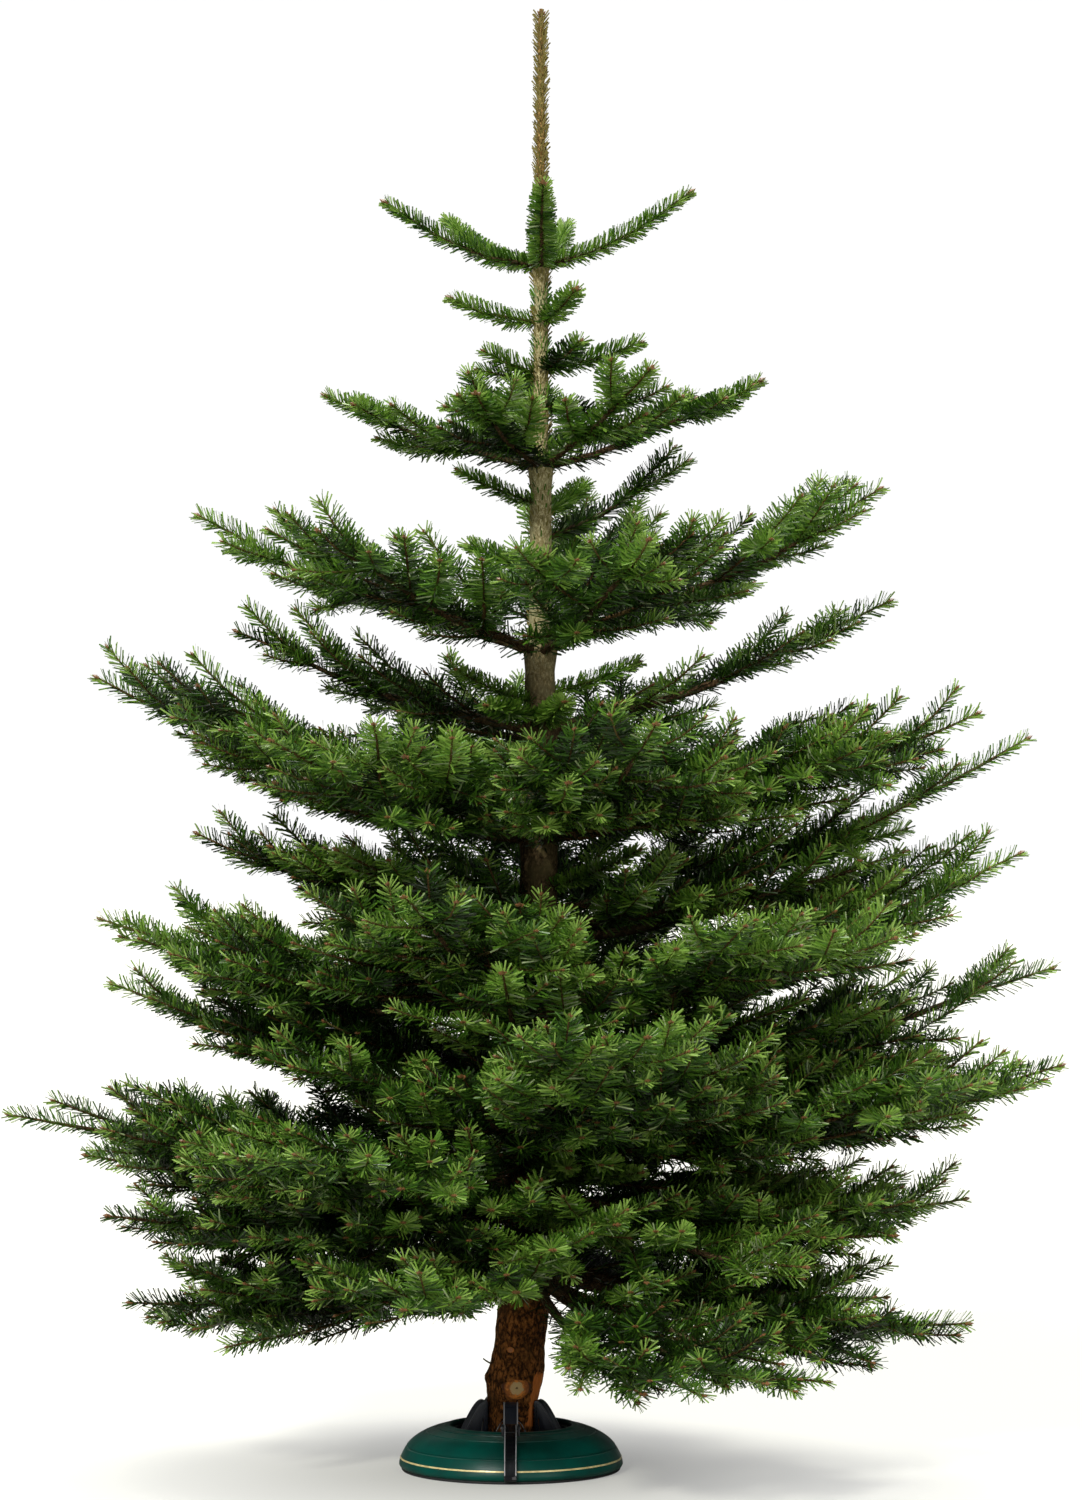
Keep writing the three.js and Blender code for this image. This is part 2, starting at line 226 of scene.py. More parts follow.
# how many years old the limbs of each whorl are
YEARS = {"tier1": 1, "link1": 1, "tier2": 3, "link2": 2, "tier3": 4, "link3": 4, "tier4": 5,
         "link4": 4, "tier5": 5, "link5": 5, "tier6": 6, "link6": 5, "tier7": 5}


def new_group(name, inputs, outputs):
    """A shader node group with named sockets."""
    group = bpy.data.node_groups.new(name, "ShaderNodeTree")
    for label, kind, value in inputs:
        made = group.interface.new_socket(name=label, in_out="INPUT", socket_type=kind)
        made.default_value = value
    for label, kind in outputs:
        group.interface.new_socket(name=label, in_out="OUTPUT", socket_type=kind)
    return group, group.nodes.new("NodeGroupInput"), group.nodes.new("NodeGroupOutput")


def mix_by(tree, mask, first, second):
    """A colour that goes from one socket or plain colour to another where the mask is 1."""
    mix = tree.nodes.new("ShaderNodeMixRGB")
    tree.links.new(mask, mix.inputs["Fac"])
    for source, target in ((first, mix.inputs["Color1"]), (second, mix.inputs["Color2"])):
        if isinstance(source, tuple):
            target.default_value = (*source, 1)
        else:
            tree.links.new(source, target)
    return mix.outputs["Color"]


def noise_by(tree, vector, scale, detail=2.0):
    """Noise of a scale over a vector."""
    made = tree.nodes.new("ShaderNodeTexNoise")
    set_inputs(made, {"Scale": scale, "Detail": detail})
    tree.links.new(vector, made.inputs["Vector"])
    return made.outputs["Fac"]


def group_by(tree, group, values):
    """A node group put to use, with its numbers and colours set."""
    made = tree.nodes.new("ShaderNodeGroup")
    made.node_tree = group
    set_inputs(made, values)
    return made


def bump_by(tree, height, strength, distance):
    """Relief on the material's Principled shader."""
    bump = tree.nodes.new("ShaderNodeBump")
    set_inputs(bump, {"Strength": strength, "Distance": distance})
    tree.links.new(height, bump.inputs["Height"])
    tree.links.new(bump.outputs["Normal"], tree.nodes["Principled BSDF"].inputs["Normal"])


def stretched(tree, place, rise):
    """A place whose height counts for that much, so that what is laid over it runs up and down."""
    made = tree.nodes.new("ShaderNodeMapping")
    made.inputs["Scale"].default_value = (1, 1, rise)
    tree.links.new(place, made.inputs["Vector"])
    return made.outputs["Vector"]


def bark_group():
    """Plates of bark: colour, roughness and height over the surface, from Object coordinates."""
    tree, give, take = new_group("bark_plates", [
        ("Plate Size", "NodeSocketFloat", 60.0), ("Dark", "NodeSocketColor", (0.03, 0.02, 0.01, 1)),
        ("Light", "NodeSocketColor", (0.2, 0.13, 0.08, 1)), ("Moss", "NodeSocketColor", (0.1, 0.11, 0.05, 1)),
    ], [("Color", "NodeSocketColor"), ("Rough", "NodeSocketFloat"), ("Height", "NodeSocketFloat")])
    place = tree.nodes.new("ShaderNodeTexCoord").outputs["Object"]
    squashed = stretched(tree, place, 0.55)
    warp = noise_by(tree, squashed, 60, 5).node
    bend = tree.nodes.new("ShaderNodeMixRGB")
    bend.inputs["Fac"].default_value = 0.03
    tree.links.new(squashed, bend.inputs["Color1"])
    tree.links.new(warp.outputs["Color"], bend.inputs["Color2"])
    plates = tree.nodes.new("ShaderNodeTexVoronoi")
    plates.feature = "DISTANCE_TO_EDGE"
    tree.links.new(bend.outputs["Color"], plates.inputs["Vector"])
    tree.links.new(give.outputs["Plate Size"], plates.inputs["Scale"])
    cracks = ramp_by(tree, plates.outputs["Distance"], 0.0, 0.30, 0.66, 1.0, "LINEAR")
    fine = noise_by(tree, squashed, 260, 7)
    fine.node.inputs["Roughness"].default_value = 0.72
    tone = combine(tree, "MULTIPLY", cracks, fine)
    lift = ramp_by(tree, tone, 0.33, 0.66, shape="LINEAR")
    bare = mix_by(tree, lift, give.outputs["Dark"], give.outputs["Light"])
    moss_at = ramp_by(tree, noise_by(tree, place, 18, 3), 0.52, 0.68, 0.0, 0.75, "LINEAR")
    tree.links.new(mix_by(tree, moss_at, bare, give.outputs["Moss"]), take.inputs["Color"])
    tree.links.new(ramp_by(tree, lift, 0.0, 1.0, 0.95, 0.6, "LINEAR"), take.inputs["Rough"])
    tree.links.new(tone, take.inputs["Height"])
    return tree


BARK_PLATES = bark_group()


def bark_material(name, plate_size, dark, light, moss, depth):
    """Bark on a piece: plates to the metre, the colours of cracks, plates and moss, and relief."""
    made, tree, shader = new_material(name)
    plates = group_by(tree, BARK_PLATES,
                      {"Plate Size": plate_size, "Dark": dark, "Light": light, "Moss": moss})
    tree.links.new(plates.outputs["Color"], shader.inputs["Base Color"])
    tree.links.new(plates.outputs["Rough"], shader.inputs["Roughness"])
    shader.inputs["Specular IOR Level"].default_value = 0.14
    bump_by(tree, plates.outputs["Height"], 0.8, depth)
    return made


# Where limbs were sawn off the butt: compass angle, height, radius of the cut, how far it stands out.
CUT_KNOTS = [(274, 0.135, 0.0135, 0.0062), (252, 0.195, 0.0048, 0.0022)]
# The strip where the bark is torn off runs from the right side down and in: across and height.
PEEL_TOP = np.array((0.052, 0.152))
PEEL_END = np.array((0.029, 0.074))
STEM_SIDES = 96
STEM_RINGS = 430
FINE_TOP = 0.26  # below it the bark shows bare, and this share of the rings lies there
FINE_SHARE = 0.36


def trunk_mesh():
    """The stem: a cylinder cut into rings, which are laid along the axis and swelled."""
    bpy.ops.mesh.primitive_cylinder_add(vertices=STEM_SIDES, radius=1, depth=1, end_fill_type="NGON")
    trunk = bpy.context.object
    trunk.name = "trunk_bark"
    bpy.ops.object.mode_set(mode="EDIT")
    bpy.ops.mesh.select_all(action="DESELECT")
    shape = bmesh.from_edit_mesh(trunk.data)
    for edge in shape.edges:
        a, b = edge.verts
        edge.select_set(abs(a.co.z - b.co.z) > 0.5)
    bmesh.update_edit_mesh(trunk.data)
    bpy.ops.mesh.subdivide(number_cuts=STEM_RINGS)
    bpy.ops.object.mode_set(mode="OBJECT")
    count = len(trunk.data.vertices)
    co = np.empty(count * 3)
    trunk.data.vertices.foreach_get("co", co)
    co = co.reshape(-1, 3)
    share = co[:, 2] + 0.5
    height = np.where(share < FINE_SHARE, STEM_FOOT + (FINE_TOP - STEM_FOOT) * share / FINE_SHARE,
                      FINE_TOP + (STEM_TOP - FINE_TOP) * (share - FINE_SHARE) / (1 - FINE_SHARE))
    angle = np.arctan2(co[:, 1], co[:, 0])
    full = np.minimum(1, np.hypot(co[:, 0], co[:, 1]))
    radius = stem_radius(height)

    def away(compass, at):
        """How far round and up or down the bark each point is from a place on it."""
        turn = (angle - math.radians(compass) + math.pi) % (2 * math.pi) - math.pi
        return turn * stem_radius(at), height - at

    # collars where the limbs leave
    for tier, (at, limbs) in WHORLS.items():
        for compass, reach in limbs.values():
            wide, over = away(compass, at)
            size = 0.004 + 0.011 * reach
            off = (wide / size) ** 2 + ((over - 0.2 * size) / (1.3 * size)) ** 2
            radius = radius + 0.55 * size * np.exp(-off)
    # the swollen bark round each cut knot
    for compass, at, size, proud in CUT_KNOTS:
        wide, over = away(compass, at)
        off = np.hypot(wide, over)
        radius = radius + 0.6 * proud * np.exp(-(off / (1.9 * size)) ** 2)
        radius = radius + 0.0022 * (size / 0.0135) * np.exp(-((off - 1.85 * size) / 0.0035) ** 2)
    # a bulge on the left, then the bark's own unevenness
    wide, over = away(178, 0.147)
    radius = radius + 0.0045 * np.exp(-(wide / 0.016) ** 2 - (over / 0.011) ** 2)
    bump = np.array([noise.fractal(Vector((math.cos(a) * 1.5, math.sin(a) * 1.5, h * 16)), 1.0, 2.0, 4)
                     for a, h in zip(angle, height)])
    flake = np.array([noise.fractal(Vector((math.cos(a) * 7, math.sin(a) * 7, h * 75)), 0.8, 2.1, 3)
                      for a, h in zip(angle, height)])
    rough = np.interp(height, [0.3, 1.0, 1.7, 1.95], [1.0, 0.6, 0.35, 0.15])
    radius = radius * (1 + 0.05 * bump * np.minimum(1, 0.4 + rough)) + 0.0011 * rough * flake
    centre = stem_axis(height)
    # the dip of the torn strip
    x = centre[:, 0] + radius * np.cos(angle)
    along = PEEL_END - PEEL_TOP
    size = np.linalg.norm(along)
    along = along / size
    down = (x - PEEL_TOP[0]) * along[0] + (height - PEEL_TOP[1]) * along[1]
    across = (x - PEEL_TOP[0]) * along[1] - (height - PEEL_TOP[1]) * along[0]
    torn = np.clip(1.6 - np.abs(across) / np.interp(down, [0, size], [0.0125, 0.0065]), 0, 1)
    torn *= (down > -0.004) & (down < size + 0.004) & (np.sin(angle) < 0.2)
    radius = (radius - 0.0016 * torn) * full
    co = centre + np.stack([radius * np.cos(angle), radius * np.sin(angle), np.zeros(count)], axis=1)
    trunk.data.vertices.foreach_set("co", co.ravel())
    trunk.data.update()
    scales = bpy.data.textures.new("bark_scales", "VORONOI")
    scales.noise_scale = 0.011
    scales.distance_metric = "DISTANCE"
    relief = trunk.modifiers.new("bark_scales", "DISPLACE")
    relief.texture = scales
    relief.texture_coords = "LOCAL"
    relief.strength = 0.0016
    relief.mid_level = 0.5
    bpy.ops.object.modifier_apply(modifier=relief.name)
    bpy.ops.object.shade_smooth()
    return trunk


def trunk_paint():
    """Red-brown and flecked at the butt, dark tan in the crown, darkened there as painted shade under the
    boughs, and pale olive above, lightened there as painted light where the needles shade it, with the torn
    strip bare and orange."""
    made = bark_material("trunk_bark", 95, (0.022, 0.008, 0.002), (0.50, 0.185, 0.042),
                         (0.070, 0.034, 0.010), 0.0026)
    tree = made.node_tree
    shader = tree.nodes["Principled BSDF"]
    place = tree.nodes.new("ShaderNodeTexCoord").outputs["Object"]
    split = tree.nodes.new("ShaderNodeSeparateXYZ")
    tree.links.new(place, split.inputs["Vector"])
    colour = shader.inputs["Base Color"].links[0].from_socket
    # crown, top and leader: plates to the metre, three colours, and between which heights each starts; the
    # crown's colours hold painted shade and the top's painted light
    for size, dark, light, moss, low, high in (
            (150, (0.034, 0.021, 0.009), (0.24, 0.165, 0.075), (0.11, 0.09, 0.035), 0.30, 0.75),
            (230, (0.25, 0.205, 0.085), (0.80, 0.72, 0.42), (0.46, 0.44, 0.24), 1.15, 1.45),
            (260, (0.11, 0.06, 0.015), (0.66, 0.43, 0.16), (0.34, 0.28, 0.09), 1.90, 2.00)):
        plates = group_by(tree, BARK_PLATES, {"Plate Size": size, "Dark": dark, "Light": light, "Moss": moss})
        colour = mix_by(tree, ramp_by(tree, split.outputs["Z"], low, high), colour, plates.outputs["Color"])
    # how far each point is across the torn strip and down it
    along = PEEL_END - PEEL_TOP
    size = float(np.linalg.norm(along))
    along = along / size
    ways = []
    for way in ((along[1], 0, -along[0]), (along[0], 0, along[1])):
        start = way[0] * PEEL_TOP[0] + way[2] * PEEL_TOP[1]
        ways.append(combine(tree, "SUBTRACT", vector_by(tree, "DOT_PRODUCT", place, way), float(start)))
    # its edges and its upper end are ragged, and it shows at the front only
    ragged = noise_by(tree, place, 95)
    across = combine(tree, "ABSOLUTE", ways[0], 0.0)
    across = combine(tree, "ADD", across, combine(tree, "MULTIPLY", ragged, 0.010))
    wide = ramp_by(tree, ways[1], 0.0, size, 0.0185, 0.0110)
    near = ramp_by(tree, combine(tree, "SUBTRACT", across, wide), -0.0008, 0.0006, 1.0, 0.0)
    first = combine(tree, "ADD", ways[1], combine(tree, "MULTIPLY", ragged, 0.024))
    ends = combine(tree, "MULTIPLY", ramp_by(tree, first, 0.010, 0.013),
                   ramp_by(tree, ways[1], size, size + 0.005, 1.0, 0.0))
    front = ramp_by(tree, split.outputs["Y"], 0.0, 0.012, 1.0, 0.0)
    torn = combine(tree, "MULTIPLY", combine(tree, "MULTIPLY", near, ends), front)
    streaks = noise_by(tree, stretched(tree, place, 0.12), 300)
    wood = mix_by(tree, streaks, (0.45, 0.10, 0.016), (0.95, 0.33, 0.080))
    tree.links.new(mix_by(tree, torn, colour, wood), shader.inputs["Base Color"])
    return made


trunk = trunk_mesh()
trunk.data.materials.append(trunk_paint())
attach(trunk, "tree")
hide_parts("trunk")


# ---------------------------------------------------------------- cut knots
# Two limbs were sawn off the butt so it fits the stand. Each leaves a pale oval of end grain
# with a ring of orange inner bark, and a dead twig was left on the other side.


def outward(compass):
    """The level way out from the stem at a compass angle, and the way across it."""
    turn = math.radians(compass)
    return np.array([math.cos(turn), math.sin(turn), 0]), np.array([-math.sin(turn), math.cos(turn), 0])


def pick_faces(made, wanted):
    """Faces of the mesh in edit mode for which a test holds are selected, and no others."""
    bpy.ops.mesh.select_mode(type="FACE")
    bpy.ops.mesh.select_all(action="DESELECT")
    shape = bmesh.from_edit_mesh(made.data)
    shape.normal_update()
    for face in shape.faces:
        face.select_set(wanted(face))
    bmesh.update_edit_mesh(made.data)


def close_edit():
    """The faces of the mesh in edit mode turned outward, and edit mode left."""
    bpy.ops.mesh.select_all(action="SELECT")
    bpy.ops.mesh.normals_make_consistent(inside=False)
    bpy.ops.object.mode_set(mode="OBJECT")


def knot(name, compass, height, size, proud):
    """A sawn-off stub, its face modelled flat and then laid against the stem."""
    out, side = [Vector(way) for way in outward(compass)]
    middle_at = Vector(stem_axis(height)) + out * (float(stem_radius(height)) + proud)
    bpy.ops.object.select_all(action="DESELECT")
    bpy.ops.mesh.primitive_circle_add(vertices=48, radius=size, fill_type="NGON")
    made = bpy.context.object
    made.name = name
    bpy.ops.object.mode_set(mode="EDIT")
    bpy.ops.mesh.select_all(action="SELECT")
    # down the side of the stub to the bark, in four steps that flare
    bpy.ops.mesh.select_mode(type="EDGE")
    bpy.ops.mesh.select_all(action="SELECT")
    for drop, flare in ((0.0010, 1.07), (0.0022, 1.16), (0.0030, 1.18), (0.0060, 1.10)):
        bpy.ops.mesh.extrude_edges_move(TRANSFORM_OT_translate={"value": (0, 0, -drop)})
        bpy.ops.transform.resize(value=(flare, flare, 1), center_override=(0, 0, 0))
        shape = bmesh.from_edit_mesh(made.data)
        lowest = min(v.co.z for v in shape.verts)
        for face in shape.faces:
            face.select_set(False)
        for edge in shape.edges:
            edge.select_set(all(abs(v.co.z - lowest) < 1e-6 for v in edge.verts))
        bmesh.update_edit_mesh(made.data)
    pick_faces(made, lambda face: len(face.verts) > 8)
    for step in (0.06, 0.14, 0.16, 0.18, 0.16):
        bpy.ops.mesh.inset(thickness=size * step, depth=0)
    close_edit()
    for vertex in made.data.vertices:
        x, y, z = vertex.co
        wobble = noise.noise(Vector((x * 90, y * 90, height * 50 + z * 60)))
        grow_by = 1 + 0.16 * wobble
        # wider than high, and hollowed a little at the heart
        z = z + 0.0005 * wobble - 0.0008 * math.exp(-(math.hypot(x, y) / (0.3 * size)) ** 2)
        vertex.co = middle_at + side * (x * 1.12 * grow_by) + Vector((0, 0, y * 0.92 * grow_by)) + out * z
    bpy.ops.object.shade_smooth_by_angle(angle=math.radians(50))
    paint, tree, shader = new_material(name)
    place = tree.nodes.new("ShaderNodeTexCoord").outputs["Object"]
    away = vector_by(tree, "LENGTH", vector_by(tree, "SUBTRACT", place, middle_at))
    blur = noise_by(tree, place, 160, 4)
    uneven = combine(tree, "MULTIPLY", combine(tree, "SUBTRACT", blur, 0.5), size * 0.62)
    off = combine(tree, "ADD", away, uneven)
    ringed = combine(tree, "ADD", away, combine(tree, "MULTIPLY", blur, size * 0.20))
    turns = combine(tree, "MULTIPLY", ringed, 2 * math.pi / (size * 0.13))
    rings = combine(tree, "SINE", turns, 0.0)
    # from the heart out: a dark pith, pale year rings, orange inner bark, brown outer bark
    grain = ((0.56, 0.37, 0.16), (0.68, 0.49, 0.23))
    if size < 0.01:
        grain = ((0.46, 0.16, 0.06), (0.62, 0.28, 0.12))
    pale = mix_by(tree, ramp_by(tree, rings, -1.0, 1.0), *grain)
    heart = mix_by(tree, ramp_by(tree, off, 0.02 * size, 0.22 * size), (0.10, 0.045, 0.015), pale)
    mottled = ramp_by(tree, blur, 0.38, 0.62)
    orange = mix_by(tree, mottled, (0.36, 0.110, 0.022), (0.80, 0.28, 0.050))
    bark_ring = mix_by(tree, ramp_by(tree, off, 0.68 * size, 0.84 * size), heart, orange)
    edge = mix_by(tree, ramp_by(tree, off, 1.26 * size, 1.60 * size), bark_ring, (0.10, 0.034, 0.010))
    tree.links.new(edge, shader.inputs["Base Color"])
    set_inputs(shader, {"Roughness": 0.6, "Specular IOR Level": 0.3})
    relief = combine(tree, "ADD", rings, combine(tree, "MULTIPLY", blur, 3.0))
    bump_by(tree, relief, 0.5, 0.0006)
    made.data.materials.append(paint)
    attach(made, "tree")


for index, (compass, height, size, proud) in enumerate(CUT_KNOTS):
    knot(f"cut_knot_{index + 1}", compass, height, size, proud)


# ---------------------------------------------------------------- how the limbs branch
# A fir adds one length to every limb each year and a pair of side shoots at the end of it, so
# an old limb is a flat fan of twigs. The growth here follows that rule inside the room that
# each limb's foliage has in the CAD model, and fills a list for the meshes below.

EDGE_GAP = 0.004  # how near the edge of its room a shoot may run
SLICES = 28  # cuts across each foliage solid, to read its room
OPEN_HEIGHT = 1.4  # above it the crown is young and open
LIMB_YEAR = 0.135  # what a side branch of a limb would lay on in a year
TWIG_YEAR = 0.136  # length for which a shoot counts as one year older
SHORTEST = 0.07
TIP_RADIUS = 0.0015
rng = np.random.default_rng(20)
shoots = []  # one year's growth each: four points, radii, years since it grew, order, room, spray


def room_of(tier, name):
    """The limb's own room, read from its CAD solid: distance out from the stem against the reach
    to each side and the height and thickness there."""
    height, limbs = WHORLS[tier]
    foot = stem_axis(height)
    out, side = outward(limbs[name][0])
    mesh = nodes[f"foliage_{tier}_{name}"].data
    co = np.empty(len(mesh.vertices) * 3)
    mesh.vertices.foreach_get("co", co)
    co = co.reshape(-1, 3) - foot
    ends = np.empty(len(mesh.edges) * 2, dtype=np.int32)
    mesh.edges.foreach_get("vertices", ends)
    a, b = co[ends[0::2]], co[ends[1::2]]
    da, db = a @ out, b @ out
    low, high = (co @ out).min(), (co @ out).max()
    rows = []
    for d in np.linspace(low + EDGE_GAP, high - EDGE_GAP, SLICES):
        cut = (da - d) * (db - d) < 0
        if cut.sum() < 3:
            continue
        t = ((d - da[cut]) / (db[cut] - da[cut]))[:, None]
        at = a[cut] + (b[cut] - a[cut]) * t
        u, z = at @ side, at[:, 2]
        rows.append((d, u.min(), u.max(), (z.min() + z.max()) / 2, (z.max() - z.min()) / 2))
    return {"foot": foot, "out": out, "side": side, "rows": np.array(rows), "reach": high,
            "tier": tier, "name": name, "height": height}


def row_at(room, d):
    """What room_of found at one distance out."""
    rows = room["rows"]
    return [np.interp(d, rows[:, 0], rows[:, k]) for k in range(1, 5)]


def middle(room, d):
    """Height of the limb above its foot, from the stem out."""
    rows = room["rows"]
    first = rows[min(3, len(rows) - 1)]
    if d < first[0]:
        return first[3] * (max(d, 0) / first[0]) ** 0.8
    return float(np.interp(d, rows[:, 0], rows[:, 3]))


def free_length(room, d, u, heading, longest):
    """How far a shoot can run on the level before it leaves the limb's room."""
    step = 0.012
    run = 0.0
    while run < longest:
        run += step
        x = d + run * math.cos(heading)
        y = u + run * math.sin(heading)
        left, right, _, _ = row_at(room, x)
        if x > room["reach"] or y < left + EDGE_GAP or y > right - EDGE_GAP:
            return run - step
    return longest


def half_room(room, d):
    """How far above or below the middle of its room a twig may run."""
    return max(0.012, row_at(room, d)[3] * 1.06 - 0.010) + (0.012 if room["years"] > 3 else 0)


def grow(room, start, heading, length, years, order, drift, base_radius, spray):
    """One twig of some years. start is (out, across, height above the foot), drift says where in
    the thickness of the fan it ends, from -1 below to 1 above. A side branch of the limb and all
    the twigs on it are one spray."""
    steps = 3 * years
    turn = -heading * rng.uniform(0.1, 0.35) + rng.normal(0, 0.06)
    d, u, z0 = start
    offset = z0 - middle(room, d)
    goal = offset + np.clip(drift * half_room(room, d + length * math.cos(heading)) - offset,
                            -0.38 * length, 0.42 * length)
    points = [np.array([d, u, z0])]
    headings = [heading]
    for k in range(1, steps + 1):
        share = k / steps
        h = heading + turn * share + rng.normal(0, 0.02)
        d += length / steps * math.cos(h)
        u += length / steps * math.sin(h)
        z = middle(room, d) + offset + (goal - offset) * share ** 1.1
        if room["years"] == 1:
            z -= 0.05 * length * math.sin(math.pi * share)
        if order:
            z += 0.012 * share ** 3
        points.append(np.array([d, u, z]))
        headings.append(h)
    points = np.array(points)
    world = (room["foot"] + points[:, :1] * room["out"] + points[:, 1:2] * room["side"]
             + points[:, 2:] * np.array([0, 0, 1]))
    # nothing hangs down in front of the butt, where the pedal is reached
    hangs = (np.abs(world[:, 0] - 0.005) < 0.075) & (world[:, 1] < -0.05) & (world[:, 2] < 0.300)
    if order and hangs.any():
        return
    radii = TIP_RADIUS + (base_radius - TIP_RADIUS) * (1 - np.linspace(0, 1, years + 1)) ** 0.85
    for year in range(years):
        age = years - 1 - year
        shoots.append({"points": world[3 * year:3 * year + 4], "age": age, "order": order, "room": room,
                       "r0": radii[year], "r1": radii[year + 1], "last": year == years - 1, "spray": spray})
    if order == 3:
        return
    # by order: a side shoot's length against what is left of this one, and how often one stands
    # between two years' ends
    open_crown = room["height"] > OPEN_HEIGHT
    ratio = (1.0, 0.66, 0.6)[order]
    between = (0.6, 0.14, 0.0)[order] * (0.4 if open_crown else 1)
    hand = rng.choice([-1, 1])
    for k in range(1, steps):
        at_node = k % 3 == 0
        # the newest length bears no side shoots yet
        if not at_node and (k > steps - 3 or rng.random() > between):
            continue
        left_years = max(1, years - (k // 3) - (0 if at_node else 1))
        remaining = length * (1 - k / steps)
        hand = -hand
        sides = [-1, 1] if at_node else [hand]
        if at_node and order < 2 and years > 1 and rng.random() < (0.7, 0.3)[order]:
            sides.append(rng.choice([-0.3, 0.3]))
        if at_node and order == 0 and left_years > 1 and not open_crown and room["tier"] != "link3":
            sides.append(hand * 1.3)
        for side in sides:
            if at_node and order > 0 and rng.random() < (0.0, 0.12, 0.62)[order]:
                continue
            angle = side * math.radians(rng.uniform(42, 56))
            want = LIMB_YEAR * left_years if order == 0 else remaining * ratio + 0.05
            slower = 0.85 if left_years < 3 and order == 0 else 1
            want *= rng.uniform(0.8, 1.15) * (1 if at_node else 0.8) * slower
            # the longest bough of all is a slim one past its middle
            if (room["tier"], room["name"]) == ("tier6", "left") and points[k][0] / room["reach"] > 0.55:
                want *= 0.6
            upright = abs(side) < 1
            if upright:
                want = min(want, 0.10 + 0.2 * remaining)
            own = min(want, free_length(room, points[k][0], points[k][1], headings[k] + angle, want))
            keep = 1 if open_crown else 0.05 + 1.0 * points[k][0] / room["reach"]
            if own < SHORTEST or (order > 0 and rng.random() > keep):
                continue
            own_years = int(min(left_years, max(1, round(own / TWIG_YEAR))))
            if upright:
                aim = rng.choice([-1.1, 1.3, 1.8])
            elif order == 0:
                aim = rng.uniform(-1, 1)
            else:
                aim = np.clip(drift + rng.uniform(-0.9, 1.0), -1.15, 1.25)
            parent = radii[k // 3]
            grow(room, points[k], headings[k] + angle, own, own_years, order + 1, aim,
                 min(0.62 * parent, 0.0017 + 0.0011 * own_years), spray if order else len(shoots))


def limb(room, heading=0.0, share=1.0, lean=0.0):
    """A main limb of the fan from the bark of the stem to the edge of its room."""
    first = float(stem_radius(room["height"])) * 0.6
    foot = np.array([first, 0.0, middle(room, first) + lean * 0.02])
    straight = heading == 0
    run = room["reach"] - first - 0.012 if straight else free_length(room, 0.05, 0.0, heading, 1.2)
    years = room["years"] if straight else room["years"] - 1
    grow(room, foot, heading, run * share, years, 0, lean, 0.0025 + 0.0115 * run * share, len(shoots))


for tier, (height, limbs) in WHORLS.items():
    for name, (compass, reach) in limbs.items():
        room = room_of(tier, name)
        room["years"] = YEARS[tier]
        limb(room)
        if YEARS[tier] > 3 and height < 1.1:
            # a wide fan is three limbs of the whorl side by side
            limb(room, math.radians(rng.uniform(13, 20)), 0.94, rng.uniform(-0.9, 0.9))
            limb(room, -math.radians(rng.uniform(13, 20)), 0.94, rng.uniform(-0.9, 0.9))

# Weaker limbs stand between the whorls and fill the crown round the stem: height, compass,
# reach, and the limb whose fan theirs repeats.
FILLERS = [(1.150, 60, 0.42, "tier4", "back"), (1.160, 128, 0.42, "tier4", "back"),
           (0.860, 130, 0.52, "tier5", "back"), (0.890, 55, 0.52, "tier5", "back"),
           (0.905, 92, 0.46, "tier5", "back"), (0.875, 218, 0.40, "tier5", "front"),
           (0.870, 325, 0.40, "tier5", "front_right"), (0.640, 262, 0.56, "tier6", "front"),
           (0.620, 310, 0.56, "tier6", "front"), (0.640, 225, 0.54, "tier6", "front_left"),
           (0.630, 130, 0.54, "tier6", "back"), (0.640, 60, 0.54, "tier6", "back"),
           (0.500, 258, 0.50, "tier6", "front"), (0.485, 300, 0.48, "tier6", "front"),
           (0.440, 240, 0.54, "tier7", "front"), (0.450, 318, 0.56, "tier7", "front_right"),
           (0.400, 275, 0.46, "tier7", "front"), (0.430, 292, 0.40, "tier7", "front"),
           (0.450, 262, 0.36, "tier7", "front"), (0.455, 345, 0.60, "tier7", "right"),
           (0.475, 316, 0.52, "tier6", "front"), (0.468, 354, 0.58, "tier6", "front"),
           (0.430, 18, 0.60, "tier7", "right"), (0.470, 190, 0.50, "tier7", "left"),
           (0.440, 130, 0.50, "tier7", "back"), (0.440, 55, 0.50, "tier7", "back"),
           (0.480, 28, 0.50, "tier7", "back"), (0.495, 334, 0.44, "tier6", "front")]
for height, compass, reach, tier, name in FILLERS:
    out, side = outward(compass)
    room = room_of(tier, name)
    size = reach / room["reach"]
    room["rows"] = room["rows"] * [size, size, size, size, 1.0]
    room.update(height=height, foot=stem_axis(height), reach=reach, years=3 if reach < 0.45 else 4,
                out=out, side=side)
    limb(room)

